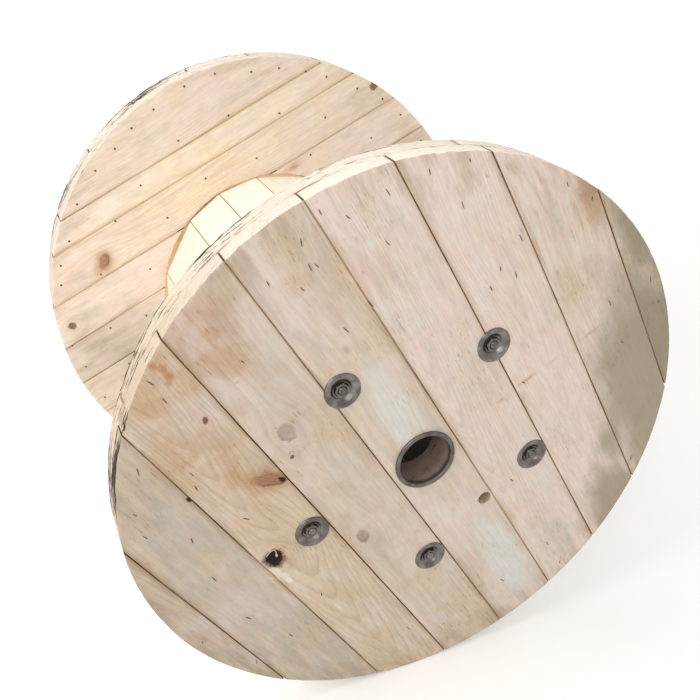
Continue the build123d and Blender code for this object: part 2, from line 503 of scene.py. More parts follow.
        # The bark ring is stronger towards one side of every knot: painted shade.
        shaded = (along * 0.5 - across * 0.8).fade(-0.7, 1.0) * 0.75 + 0.25
        bark = wobble.fade(0.66, 0.96) * wobble.fade(1.3, 1.0) * near
        return g.coats(colour, (checks * 0.7, self.bark), (bark * shaded * (kind * 0.45 + 0.4), self.bark))

    def edges(self, m: WoodMaps, colour: Wire) -> Wire:
        """Rims with saw marks, tan and dirt, and painted shade on the walls of holes and in the joints.

        Args:
            m: what the board carries.
            colour: the board's face.

        Returns:
            The colour.
        """
        g = m.graph
        marks = m.sliver.fade(0.38, 0.68) * 0.28 + m.dash.fade(0.5, 0.7) * 0.22
        rim = g.coats(tint(self.rim), (marks, self.rim_tan), (m.tan * 0.8, self.rim_tan))
        soiled = (m.dirt + (m.dash - 0.5) * 2.3 + (m.sliver - 0.5) * 1.1).fade(0.48, 0.64)
        # The walls of the joints, and the face within 1.2 mm of a long edge, take a dark colour: painted shade
        # in the gaps between boards and staves.
        gap = m.joint.fade(1.2 * MM, 0.5 * MM) * (m.side * 0.85 + 0.1)
        return g.coats(
            g.mix(m.edge * 0.92, colour, rim),
            (m.edge * soiled * 0.95, self.rim_dirt),
            # Sides away from the rim, the walls of holes and joints, take the hole colour at half strength as
            # painted shade; on staves every face counts as a side.
            (m.side * (1 - m.outside) * 0.5, self.hole),
            (gap * (1 - m.outside * 0.3), self.crevice_shade))


@dataclass(frozen=True)
class PackedDust:
    """Trodden dust and fibres: its tone attribute runs from dark to pale."""

    name: str
    dark: str = "4A3420"
    pale: str = "BB9C74"

    def material(self) -> bpy.types.Material:
        """Clumps between the dark and the pale colour.

        Returns:
            The material, which reads the attribute tone.
        """
        g = Finish(self.name)
        place = g.place()
        clump = g.noise(place, 55.0, 4.0, 0.65)
        fine = g.noise(place, 600.0, 3.0, 0.6)
        share = (g.attribute("tone").split()[0] + (clump - 0.5) * 1.1 + (fine - 0.5) * 0.3).fade(-0.1, 1.1)
        g.feed("Base Color", g.mix(share, tint(self.dark), tint(self.pale)))
        g.feed("Roughness", 0.92)
        g.feed("Specular IOR Level", 0.15)
        g.bump(fine * 0.6 + clump, 0.5 * MM, 0.6)
        return g.material


@dataclass(frozen=True)
class TornFibre:
    """Clean wood fibre, torn and dry."""

    name: str
    fibre: str = "E6D3C0"
    shade: str = "C7A58C"

    def material(self) -> bpy.types.Material:
        """Pale fibre with darker threads.

        Returns:
            The material.
        """
        g = Finish(self.name)
        threads = g.noise(g.place(), 260.0, 3.0, 0.6)
        g.feed("Base Color", g.mix(threads.fade(0.4, 0.65), tint(self.fibre), tint(self.shade)))
        g.feed("Roughness", 0.8)
        g.bump(threads, 0.3 * MM, 0.6)
        return g.material


@dataclass(frozen=True)
class WornSteel:
    """Dull dark steel with handling wear and rust."""

    name: str
    steel: str = "5E5A54"
    worn: str = "8B8780"
    rust: str = "6B3D26"
    rust_share: float = 0.3
    roughness: float = 0.38
    metal: float = 0.8
    dust: str = "9C8874"
    dust_and_light_share: float = 0.0

    def material(self) -> bpy.types.Material:
        """Mottled steel, browner and rougher where it rusts, and below the flanges' faces a pale coat of dust
        that is also painted light in the shaded bores.

        Returns:
            The material.
        """
        g = Finish(self.name)
        place = g.place()
        mottle = g.noise(place, 60.0, 4.0, 0.6)
        fine = g.noise(place, 420.0, 3.0, 0.6)
        blotch = g.noise(place, 24.0, 5.0, 0.68)
        rusty = (blotch + (fine - 0.5) * 0.35).fade(0.82 - self.rust_share, 1.02 - self.rust_share)
        colour = g.mix(mottle.fade(0.35, 0.7) * 0.7, tint(self.steel), tint(self.worn))
        colour = g.mix(rusty * 0.85, colour, tint(self.rust))
        # Inside the bores, below the flanges' faces: a pale coat with less metal, partly dust and partly
        # painted light that lifts the shaded bore.
        below = abs(place.split()[1]).fade(DUST_AND_LIGHT_LEVEL, DUST_AND_LIGHT_LEVEL - DUST_AND_LIGHT_FADE)
        dusty_and_lit = below * (0.5 + mottle) * self.dust_and_light_share
        g.feed("Base Color", g.mix(dusty_and_lit, colour, tint(self.dust)))
        g.feed("Metallic", self.metal * (1 - rusty * 0.75) * (1 - dusty_and_lit * 0.9))
        g.feed("Roughness", self.roughness + rusty * 0.35 + (mottle - 0.5) * 0.2)
        g.bump(fine * 0.6 + mottle * 0.8 + rusty * 0.6, 0.25 * MM, 0.5)
        return g.material


def quads(index: Array) -> Array:
    """Four-sided faces between the neighbours of a grid of point numbers."""
    corners = (index[:-1, :-1], index[1:, :-1], index[1:, 1:], index[:-1, 1:])
    return np.stack(corners, axis=-1).reshape(-1, 4)


def tube_faces(shape: tuple[int, int]) -> list[list[int]]:
    """Faces of closed loops of points one after another, with a cap at both ends.

    Args:
        shape: number of loops, and of points on a loop.

    Returns:
        Point numbers of each face.
    """
    index = np.arange(shape[0] * shape[1]).reshape(shape)
    sides = quads(np.concatenate([index, index[:, :1]], axis=1)).tolist()
    return sides + [index[0, ::-1].tolist(), index[-1].tolist()]


def outward(points: Array, faces: Array) -> Array:
    """Turn the four-sided faces of one closed surface so that the volume they hold is positive.

    Args:
        points: one row of three numbers for each point.
        faces: point numbers of each face.

    Returns:
        The faces, all in the order that makes them point outwards.
    """
    a, b, c, d = (points[faces[:, corner]] for corner in range(4))
    volume = np.sum(a * np.cross(b, c)) + np.sum(a * np.cross(c, d))
    return faces if volume > 0 else faces[:, ::-1]


def steps_round(count: int) -> Array:
    """Angles of even steps round a full turn."""
    return np.arange(count) * 2 * np.pi / count


def new_piece(name: str, points: Array, faces: list[list[int]], bend: float = SHARP_BEND,
              wound: bool = False) -> bpy.types.Object:
    """Put whole arrays into a closed mesh object at the origin.

    Args:
        name: the piece's name.
        points: one row of three numbers for each point.
        faces: point numbers of each face.
        bend: edges that turn by more than these degrees are shaded sharp.
        wound: whether the faces point outwards already.

    Returns:
        The object, linked to the scene, with its faces pointing outwards.
    """
    mesh = bpy.data.meshes.new(name)
    mesh.from_pydata(points.tolist(), [], faces)
    if not wound:
        loose = bmesh.new()
        loose.from_mesh(mesh)
        bmesh.ops.recalc_face_normals(loose, faces=loose.faces)
        loose.to_mesh(mesh)
        loose.free()
    piece = bpy.data.objects.new(name, mesh)
    bpy.context.scene.collection.objects.link(piece)
    soften(mesh, bend)
    return piece


class Blocks:
    """Closed surfaces that are gathered into one piece."""

    def __init__(self) -> None:
        """Start with none."""
        self.points: list[Array] = []
        self.faces: list[list[int]] = []
        self.count = 0

    def add(self, points: Array, faces: list[list[int]]) -> None:
        """Add one surface.

        Args:
            points: its points, as rows or a grid of three numbers.
            faces: its faces, numbered from its own first point.
        """
        rows = points.reshape(-1, 3)
        self.faces += [[corner + self.count for corner in face] for face in faces]
        self.points.append(rows)
        self.count += len(rows)

    def piece(self, name: str, bend: float = SHARP_BEND, wound: bool = False) -> bpy.types.Object:
        """One mesh object of all surfaces."""
        return new_piece(name, np.concatenate(self.points), self.faces, bend, wound)


def soften(mesh: bpy.types.Mesh, bend: float) -> None:
    """Shade a mesh smooth, apart from edges that turn by more than bend degrees."""
    mesh.shade_smooth()
    mesh.set_sharp_from_angle(angle=math.radians(bend))


def points_of(mesh: bpy.types.Mesh) -> Array:
    """Read all points of a mesh.

    Args:
        mesh: the mesh.

    Returns:
        One row of three numbers for each point.
    """
    flat = np.empty(len(mesh.vertices) * 3, np.float32)
    mesh.vertices.foreach_get("co", flat)
    return flat.reshape(-1, 3).astype(float)


def carry(mesh: bpy.types.Mesh, name: str, *parts: Array | float) -> None:
    """Store three values for each point of a mesh as a vector attribute.

    Args:
        mesh: the mesh.
        name: the attribute's name.
        parts: the three values, each an array or the same for all points.
    """
    count = len(mesh.vertices)
    rows = np.stack([np.broadcast_to(part, count) for part in parts], axis=-1)
    layer = mesh.attributes.new(name, "FLOAT_VECTOR", "POINT")
    layer.data.foreach_set("vector", rows.astype(np.float32).ravel())


def cut_like(piece: bpy.types.Object, node: str) -> None:
    """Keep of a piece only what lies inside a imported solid, so that it gets the solid's holes and grooves.

    Args:
        piece: the piece.
        node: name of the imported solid.
    """
    welded = bmesh.new()
    welded.from_mesh(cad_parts[node].data)
    bmesh.ops.remove_doubles(welded, verts=welded.verts, dist=0.01 * MM)
    mould = bpy.data.meshes.new(f"mould_{node}")
    welded.to_mesh(mould)
    welded.free()
    cutter = bpy.data.objects.new(mould.name, mould)
    bpy.context.scene.collection.objects.link(cutter)
    modifier = piece.modifiers.new("holes", "BOOLEAN")
    modifier.operation = "INTERSECT"
    modifier.solver = "EXACT"
    modifier.object = cutter
    graph = bpy.context.evaluated_depsgraph_get()
    cut = bpy.data.meshes.new_from_object(piece.evaluated_get(graph), depsgraph=graph)
    piece.modifiers.clear()
    whole = piece.data
    piece.data = cut
    bpy.data.objects.remove(cutter)
    bpy.data.meshes.remove(mould)
    bpy.data.meshes.remove(whole)
    cut.name = piece.name


def stand_for(piece: bpy.types.Object, finish: bpy.types.Material, slot: str, *nodes: str) -> None:
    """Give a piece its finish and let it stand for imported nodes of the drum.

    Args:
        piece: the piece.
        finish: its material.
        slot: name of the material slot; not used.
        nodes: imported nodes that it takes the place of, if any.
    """
    piece.data.materials.clear()
    piece.data.materials.append(finish)
    piece.data.polygons.foreach_set("material_index", np.zeros(len(piece.data.polygons), np.int32))
    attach(piece, "root")
    if nodes:
        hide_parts(*nodes)
    triangles = sum(len(polygon.vertices) - 2 for polygon in piece.data.polygons)
    LOG.info("%s: %d triangles", piece.name, triangles)


@dataclass(frozen=True)
class Ripple:
    """Smooth seeded noise about zero: sine waves of random heading and phase, added up."""

    seed: int
    wavelength: float
    waves: int = 10

    def at(self, u: Array, v: Array) -> Array:
        """Add up the waves.

        Args:
            u: places in one direction.
            v: places in the other.

        Returns:
            The sum at each place, mostly between -1 and 1.
        """
        random = np.random.default_rng(self.seed)
        heading, phase = random.uniform(0, 2 * np.pi, (2, self.waves))
        number = 2 * np.pi / self.wavelength * random.uniform(0.5, 1.8, self.waves)
        total = np.zeros(np.broadcast(u, v).shape)
        for wave in range(self.waves):
            run = u * math.cos(heading[wave]) + v * math.sin(heading[wave])
            total += np.sin(run * number[wave] + phase[wave])
        return total / math.sqrt(self.waves)


class KnotKind(Enum):
    """Look of a knot's heart, as a place on the knot colours."""

    SOUND = 0.1
    RED = 0.52
    BROWN = 0.62
    HOLLOW = 0.95


@dataclass(frozen=True)
class Knot:
    """A knot in a board: its place along and across the layer, its half sizes and its look."""

    along: float
    across: float
    length: float
    width: float
    kind: KnotKind
    halo: float = 0.3
    sink: float = 0.0
    askew: float = 0.0

    def offsets(self, along: Array, across: Array) -> tuple[Array, Array]:
        """Places from the knot's middle in shares of its half sizes, turned by its askew degrees.

        Args:
            along: places along the layer.
            across: places across it.

        Returns:
            Shares along and across the knot.
        """
        c, s = math.cos(math.radians(self.askew)), math.sin(math.radians(self.askew))
        off_along, off_across = along - self.along, across - self.across
        return (off_along * c + off_across * s) / self.length, (off_across * c - off_along * s) / self.width

    def reach(self, along: Array, across: Array) -> Array:
        """Distance from the knot's middle in shares of its half sizes."""
        return np.hypot(*self.offsets(along, across))


@dataclass(frozen=True)
class Patch:
    """A soft-edged oval patch of dampness and painted shadow, stain or bleach on a layer, or of torn fresh wood
    that lies deeper.
    """

    along: float
    across: float
    length: float
    width: float
    damp_and_shadow: float = 0.0
    stain: float = 0.0
    bleach: float = 0.0
    fresh: float = 0.0
    sink: float = 0.0

    def cover(self, along: Array, across: Array) -> Array:
        """Share that falls from 1 in the middle as a bell, to a third at the oval."""
        reach = np.hypot((along - self.along) / self.length, (across - self.across) / self.width)
        return np.exp(-1.1 * reach ** 2)


@dataclass(frozen=True)
class Tone:
    """A board's own colour: warmth from -1 to 1, greyness from 0 to 1, lightness and ring contrast."""

    warmth: float = 0.0
    greyness: float = 0.1
    light: float = 1.0
    figure: float = 0.7


@dataclass(frozen=True)
class Log:
    """How a board lay in its log: the pith's place, the taper and the width of the rings."""

    pith_across: float
    pith_depth: float
    taper: float
    ring_scale: float
    shift: float

    @classmethod
    def seeded(cls, seed: int) -> "Log":
        """A plausible flat-sawn cut for a seed."""
        random = np.random.default_rng(seed)
        return cls(
            pith_across=random.uniform(-0.05, 0.05), pith_depth=random.uniform(0.02, 0.09),
            taper=random.choice((-1, 1)) * random.uniform(0.015, 0.07),
            ring_scale=random.uniform(0.8, 1.6), shift=random.uniform(-5, 5))


@dataclass(frozen=True)
class Chips:
    """Bites out of the rim of a layer: small ones gathered about an angle in radians, and chosen ones.

    A chosen bite is its angle in degrees, then its half width, bite and reach in millimetres.
    """

    seed: int
    count: int = 60
    gathered: float = 2.4
    spread: float = 0.55
    chosen: tuple[tuple[float, float, float, float], ...] = ()

    def at(self, angle: Array, depth: Array, thickness: float) -> Array:
        """How far the rim is bitten back.

        Each bite is a parabola along the rim that fades with the depth from one edge of the layer.

        Args:
            angle: place round the rim in radians.
            depth: place below the shown face.
            thickness: thickness of the layer.

        Returns:
            The bite at each place, in metres.
        """
        random = np.random.default_rng(self.seed)
        bites = [(random.normal(self.gathered, self.spread), random.uniform(3, 14) * MM,
                  random.uniform(0.3, 1.3) * MM, random.uniform(2, 12) * MM, random.random() < 0.6)
                 for _ in range(self.count)]
        bites += [(math.radians(turn), width * MM, bite * MM, reach * MM, True)
                  for turn, width, bite, reach in self.chosen]
        total = np.zeros(np.broadcast(angle, depth).shape)
        for centre, width, bite, reach, at_face in bites:
            off = (angle - centre + np.pi) % (2 * np.pi) - np.pi
            from_edge = depth if at_face else thickness - depth
            shape = np.clip(1 - (off * RIM / width) ** 2, 0, 1) * np.clip(1 - from_edge / reach, 0, 1)
            total = np.maximum(total, bite * shape)
        return total


@dataclass(frozen=True)
class RimDirt:
    """Dark smears round a rim: each is an angle, a half width in degrees and a strength."""

    smears: tuple[tuple[float, float, float], ...] = ()
    level: float = 0.1

    def at(self, angle: Array) -> Array:
        """Strength of the dirt, each smear a bell about its angle.

        Args:
            angle: place round the rim in radians.

        Returns:
            The strength at each place.
        """
        total = np.full(angle.shape, self.level)
        for centre, width, strength in self.smears:
            off = (np.degrees(angle) - centre + 180) % 360 - 180
            total = np.maximum(total, strength * np.exp(-((off / width) ** 2)))
        return total


@dataclass
class Layer:
    """One layer of boards of a flange, with its shown face towards -Y or +Y."""

    prefix: str
    run: float
    facing: int
    wood: bpy.types.Material
    spacing: float
    tones: dict[str, Tone] = field(default_factory=dict)
    knots: tuple[Knot, ...] = ()
    patches: tuple[Patch, ...] = ()
    chips: Chips = Chips(1)
    dirt: RimDirt = RimDirt()
    tan: float = 0.2
    tan_angle: float = 155.0
    tan_spread: float = 28.0
    rub: float = 0.0
    rub_radius: float = 270 * MM
    rub_spread: float = 13 * MM
    ease: float = 0.35 * MM
    back_ease: float = 0.5 * MM
    skin: float = 0.06 * MM
    rim_skin: float = 0.5 * MM
    tip: float = 0.6 * MM
    hardware_reach: float = 0.27

    def __post_init__(self) -> None:
        """Work out the directions along and across the boards, in X and Z."""
        turn = math.radians(self.run)
        self.e = np.array([math.cos(turn), math.sin(turn)])
        self.n = np.array([-math.sin(turn), math.cos(turn)])

    def flat(self, points: Array) -> tuple[Array, Array]:
        """Places along and across the boards of points of the drum."""
        x, z = points[:, 0], points[:, 2] - AXIS_HEIGHT
        return x * self.e[0] + z * self.e[1], x * self.n[0] + z * self.n[1]

    def solid(self, along: Array, across: Array, y: Array) -> Array:
        """Points of the drum from places in the layer.

        Args:
            along: places along the boards.
            across: places across them.
            y: places along the drum's axis.

        Returns:
            Points, with their three numbers last.
        """
        x = along * self.e[0] + across * self.n[0]
        z = along * self.e[1] + across * self.n[1] + AXIS_HEIGHT
        return np.stack([x, np.broadcast_to(y, x.shape), z], axis=-1)

    def nodes(self) -> list[str]:
        """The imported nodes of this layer."""
        return sorted(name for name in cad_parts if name.startswith(self.prefix))

    def build(self) -> None:
        """Build and dress every board of the layer."""
        for node in self.nodes():
            Board(self, node).build()


@dataclass
class Board:
    """One board of a layer, worn along its edges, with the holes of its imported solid."""

    layer: Layer
    node: str

    def __post_init__(self) -> None:
        """Read the board's edges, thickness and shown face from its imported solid."""
        packed = points_of(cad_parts[self.node].data)
        _, across = self.layer.flat(packed)
        self.low, self.high = float(across.min()), float(across.max())
        self.thickness = float(np.ptp(packed[:, 1]))
        ends = (float(packed[:, 1].min()), float(packed[:, 1].max()))
        self.face_y = ends[0] if self.layer.facing < 0 else ends[1]
        self.seed = seed_of(self.node)
        self.log = Log.seeded(self.seed)
        self.flip = -1.0 if self.low < -RIM + AT_RIM else 1.0
        self.at_edge = self.flip < 0 or self.high > RIM - AT_RIM
        self.nearest = 0.0 if self.low < 0 < self.high else min(abs(self.low), abs(self.high))
        self.knots = [knot for knot in self.layer.knots if self.low < knot.across < self.high]

    def nick(self, along: Array, line: int) -> Array:
        """Waver of a long edge: slow and quick ripples, always into the board.

        Args:
            along: places along the board.
            line: number of the edge.

        Returns:
            How far the edge lies back.
        """
        slow = Ripple(self.seed + line, 0.35, 5).at(along, along * 0)
        quick = Ripple(self.seed + line + 7, 0.03, 8).at(along, along * 0)
        return (0.1 + 0.12 * slow + 0.1 * quick).clip(0.0, None) * MM

    def outline(self, s: Array, t: Array, inset: float, depth: float) -> tuple[Array, Array]:
        """Places of the board's outline grid.

        A board that runs from rim to rim is ruled: t goes from its lower to its upper edge, and s from
        one end to the other in shares of the half chord there. A board at the edge of the flange is the
        piece between a chord and the rim: s goes along the chord, and t from the chord out to the rim.

        Args:
            s: share from -1 to 1 along the board.
            t: share from 0 to 1 across it.
            inset: how far the whole outline is drawn in.
            depth: depth below the shown face, for the chips.

        Returns:
            Places along and across the layer.
        """
        layer = self.layer
        reach = RIM - layer.rim_skin - inset
        if not self.at_edge:
            start = s * RIM
            low = self.low + layer.skin + inset + self.nick(start, 1)
            high = self.high - layer.skin - inset - self.nick(start, 2)
            across = low + t * (high - low)
            end = np.sign(s) * np.sqrt(RIM ** 2 - across ** 2)
            bitten = reach - self.bite(end, across, depth)
            return s * np.sqrt(bitten ** 2 - across ** 2), across
        chord = self.nearest + layer.skin + inset
        half = math.sqrt((reach - layer.tip) ** 2 - (chord + layer.tip) ** 2)
        along = s * half
        chord = chord + self.nick(along, 1)
        rim = np.sqrt(RIM ** 2 - along ** 2)
        bitten = reach - self.bite(along, rim * self.flip, depth)
        top = np.sqrt(bitten ** 2 - along ** 2)
        return along, self.flip * (chord + t * (top - chord))

    def bite(self, along: Array, across: Array, depth: float) -> Array:
        """Chips and roughness of the rim.

        Args:
            along: places along the layer.
            across: places across it.
            depth: depth below the shown face.

        Returns:
            How far the rim lies back.
        """
        point = self.layer.solid(along, across, 0.0)
        angle = np.arctan2(point[..., 2] - AXIS_HEIGHT, point[..., 0])
        rough = Ripple(self.seed + 3, 0.012, 10).at(angle * RIM, np.full(angle.shape, depth))
        uneven = Ripple(self.seed + 5, 0.2, 4).at(angle * RIM, angle * 0)
        chips = self.layer.chips.at(angle, depth, self.thickness)
        return chips + (0.5 + 0.3 * uneven + 0.2 * rough).clip(0, None) * MM

    def sink(self, along: Array, across: Array) -> Array:
        """Cupping, ripples, sunk knots and torn places of the shown face.

        Args:
            along: places along the layer.
            across: places across it.

        Returns:
            How far the face lies below the sawn plane.
        """
        middle, half = (self.low + self.high) / 2, (self.high - self.low) / 2
        cup = ((across - middle) / half) ** 2 * 0.22
        level = np.random.default_rng(self.seed).uniform(0.05, 0.3)
        wave = 0.16 * (1 + Ripple(self.seed + 9, 0.09, 8).at(along, across * 2.5).clip(-1, 1))
        depth = (cup + level + wave) * MM
        for knot in self.knots:
            reach = knot.reach(along, across)
            depth = depth + knot.sink * (1 - fade(reach, 0.45, 1.0))
        for patch in self.layer.patches:
            depth = depth + patch.sink * fade(patch.cover(along, across), 0.25, 0.6)
        return depth

    def surface(self) -> tuple[Array, list[list[int]]]:
        """Closed surface of the board.

        The shown face is a grid of s and t. Its border is carried round the eased edge and down the
        walls as rings, and ladders of faces close the hidden side.

        Returns:
            Points and faces.
        """
        layer = self.layer
        length = 2 * math.sqrt(RIM ** 2 - self.nearest ** 2)
        rows = max(12, int(length / layer.spacing))
        columns = max(6, int((self.high - self.low) / (layer.spacing * 0.8)))
        s, t = np.meshgrid(np.linspace(-1, 1, rows), np.linspace(0, 1, columns), indexing="ij")
        index = np.arange(rows * columns).reshape(rows, columns)
        border = np.concatenate([index[:-1, 0], index[-1, :-1], index[:0:-1, -1], index[0, :0:-1]])

        along, across = self.outline(s, t, layer.ease, 0.0)
        sunk = self.sink(along, across)
        points = [self.place(along, across, sunk).reshape(-1, 3)]
        faces = quads(index).tolist()
        border_s, border_t = s.ravel()[border], t.ravel()[border]
        border_sunk = sunk.ravel()[border]
        foot = self.thickness - layer.skin
        rings = [(0.3 * layer.ease, 0.3 * layer.ease), (0.0, layer.ease)]
        rings += [(0.0, share * self.thickness) for share in (0.2, 0.4, 0.6, 0.8)]
        rings += [(0.0, foot - layer.back_ease), (layer.back_ease, foot)]
        last = border
        for inset, depth in rings:
            ring_along, ring_across = self.outline(border_s, border_t, inset, depth)
            stays = 1 - depth / foot
            points.append(self.place(ring_along, ring_across, depth + border_sunk * stays))
            ring = np.arange(len(border)) + sum(len(block) for block in points[:-1])
            loop = np.stack([np.append(last, last[0]), np.append(ring, ring[0])])
            faces += quads(loop).tolist()
            last = ring
        lower = last[:rows]
        upper = last[rows + columns - 2:2 * rows + columns - 2][::-1]
        inner = np.stack([lower[1:rows - 1], upper[1:rows - 1]])
        faces += quads(inner).tolist()
        far = last[rows - 1:rows + columns - 1]
        near = np.append(last[2 * rows + columns - 3:], last[0])
        faces.append([int(lower[rows - 2]), *far.tolist(), int(upper[rows - 2])])
        faces.append([int(upper[1]), *near.tolist(), int(lower[1])])
        return np.concatenate(points), faces

    def place(self, along: Array, across: Array, depth: Array) -> Array:
        """Points of the drum at a depth below the shown face."""
        return self.layer.solid(along, across, self.face_y - self.layer.facing * depth)

    def build(self) -> None:
        """Build the board, cut its holes, and store what its wood shows at each point."""
        points, faces = self.surface()
        piece = new_piece(f"sawn_{self.node}", points, faces)
        if self.nearest < self.layer.hardware_reach:
            cut_like(piece, self.node)
            soften(piece.data, SHARP_BEND)
        self.dress(piece.data)
        stand_for(piece, self.layer.wood, "flange_boards", self.node)

    def tone(self) -> Tone:
        """The layer's own tone for this board, or a seeded one.

        Returns:
            The tone.
        """
        chosen = self.layer.tones.get(self.node.removeprefix(self.layer.prefix + "_"))
        if chosen is not None:
            return chosen
        random = np.random.default_rng(self.seed + 21)
        return Tone(random.uniform(-0.3, 0.4), random.uniform(0.0, 0.25), random.uniform(0.95, 1.05),
                    random.uniform(0.4, 0.9))

    def dress(self, mesh: bpy.types.Mesh) -> None:
        """Store grain, tone, patina, knots and wear at the points of the finished board.

        Args:
            mesh: the board.
        """
        layer, tone = self.layer, self.tone()
        points = points_of(mesh)
        along, across = layer.flat(points)
        depth = (self.face_y - points[:, 1]) * layer.facing
        x, z = points[:, 0], points[:, 2] - AXIS_HEIGHT
        angle = np.arctan2(z, x)
        rim = RIM - np.hypot(along, across)
        halo = self.dress_grain(mesh, along, across, depth)
        self.dress_patina_and_shadow(mesh, along, across, depth, halo)
        carry(mesh, "tone", tone.warmth, tone.greyness, tone.light)
        off = (np.degrees(angle) % 360 - layer.tan_angle) / layer.tan_spread
        carry(mesh, "tan", layer.tan * np.exp(-(off ** 2)), 0.0, 0.0)
        carry(mesh, "rimwise", np.arctan2(x, z) * RIM, points[:, 1], tone.figure)

        joint = np.minimum(across - self.low, self.high - across)
        if self.at_edge:
            joint = across - self.low if self.flip > 0 else self.high - across
        bitten = fade(rim, 1.5 * MM, 4.0 * MM) * 0.35
        edged = 1 + np.exp(-((depth / (5 * MM)) ** 2))
        carry(mesh, "wear", joint, rim, layer.dirt.at(angle) * edged + bitten)

    def dress_grain(self, mesh: bpy.types.Mesh, along: Array, across: Array, depth: Array) -> Array:
        """Store the grain and the knots.

        The rings of the log are circles round its pith: the grain vector holds the place along the board
        and the two distances from the pith. Round a knot the distance across is squeezed towards the
        knot's middle, so that the rings flow round it.

        Args:
            mesh: the board.
            along: places of its points along the layer.
            across: places across it.
            depth: depths below the shown face.

        Returns:
            Strength of the stain round the knots.
        """
        log, middle = self.log, (self.low + self.high) / 2
        flow = across + 4 * MM * Ripple(self.seed + 11, 0.4, 5).at(along, across)
        knot_along, knot_across, nearest = np.full((3, len(along)), FAR_FROM_KNOT)
        kind = np.full(len(along), NO_KNOT)
        halo = np.zeros(len(along))
        for knot in self.knots:
            off_along, off_across = along - knot.along, across - knot.across
            u, v = knot.offsets(along, across)
            reach = np.hypot(u, v)
            spread = (off_along / (2.6 * knot.length)) ** 2 + (off_across / (2.4 * knot.width)) ** 2
            flow = flow - 0.85 * off_across * np.exp(-0.5 * spread)
            closer = reach < nearest
            knot_along, knot_across = np.where(closer, u, knot_along), np.where(closer, v, knot_across)
            kind = np.where(closer, np.where(reach < KNOT_REACH, knot.kind.value, NO_KNOT), kind)
            nearest = np.minimum(nearest, reach)
            halo = np.maximum(halo, knot.halo * np.exp(-((reach / 2.4) ** 2)))
        carry(mesh, "grain", along + log.shift, (flow - middle - log.pith_across) * log.ring_scale,
              (log.pith_depth + depth + log.taper * along) * log.ring_scale)
        carry(mesh, "knot", knot_along, knot_across, kind)
        return halo

    def dress_patina_and_shadow(self, mesh: bpy.types.Mesh, along: Array, across: Array, depth: Array,
                     halo: Array) -> None:
        """Store dampness with painted shadow, stain and bleach, with freshly torn wood as a stain below zero.

        Args:
            mesh: the board.
            along: places of its points along the layer.
            across: places across it.
            depth: depths below the shown face.
            halo: strength of the stain round the knots.
        """
        layer = self.layer
        x, z = along * layer.e[:, None] + across * layer.n[:, None]
        radius, angle = np.hypot(along, across), np.arctan2(z, x)
        damp_and_shadow, bleach, fresh = np.zeros((3, len(along)))
        stain = halo
        for patch in layer.patches:
            cover = patch.cover(along, across)
            damp_and_shadow = np.maximum(damp_and_shadow, patch.damp_and_shadow * cover)
            stain = np.maximum(stain, patch.stain * cover)
            bleach = np.maximum(bleach, patch.bleach * cover)
            fresh = np.maximum(fresh, patch.fresh * cover)
        uneven = 0.5 + 0.6 * Ripple(31, 0.9, 6).at(np.cos(angle), np.sin(angle))
        rubbed = layer.rub * uneven * np.exp(-(((radius - layer.rub_radius) / layer.rub_spread) ** 2))
        stain = np.maximum.reduce([stain, rubbed, 0.8 * fade(depth, 1.5 * MM, 5 * MM)])
        carry(mesh, "patina", damp_and_shadow, np.where(fresh > 0.2, -fresh, stain), bleach)


@dataclass(frozen=True)
class Section:
    """Section of a stave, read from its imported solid: directions, distances from the axis and half widths."""

    out: Array
    side: Array
    outer: float
    inner: float
    outer_half: float
    inner_half: float
    ends: tuple[float, float]

    @classmethod
    def of(cls, node: str) -> "Section":
        """Read the section of a packed stave.

        Args:
            node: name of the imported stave.

        Returns:
            Its section.
        """
        packed = points_of(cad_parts[node].data)
        flat = packed[:, [0, 2]] - (0.0, AXIS_HEIGHT)
        middle = flat.mean(axis=0)
        out = middle / np.linalg.norm(middle)
        side = np.array([-out[1], out[0]])
        high, wide = flat @ out, flat @ side
        outer, inner = float(high.max()), float(high.min())
        return cls(out, side, outer, inner, float(np.abs(wide[high > outer - 1 * MM]).max()),
                   float(np.abs(wide[high < inner + 1 * MM]).max()),
                   (float(packed[:, 1].min()), float(packed[:, 1].max())))

    def solid(self, high: Array, wide: Array, y: Array) -> Array:
        """Points of the drum from distances out from the axis and sideways."""
        xz = high[..., None] * self.out + wide[..., None] * self.side
        return np.stack([xz[..., 0], np.broadcast_to(y, high.shape), xz[..., 1] + AXIS_HEIGHT], axis=-1)


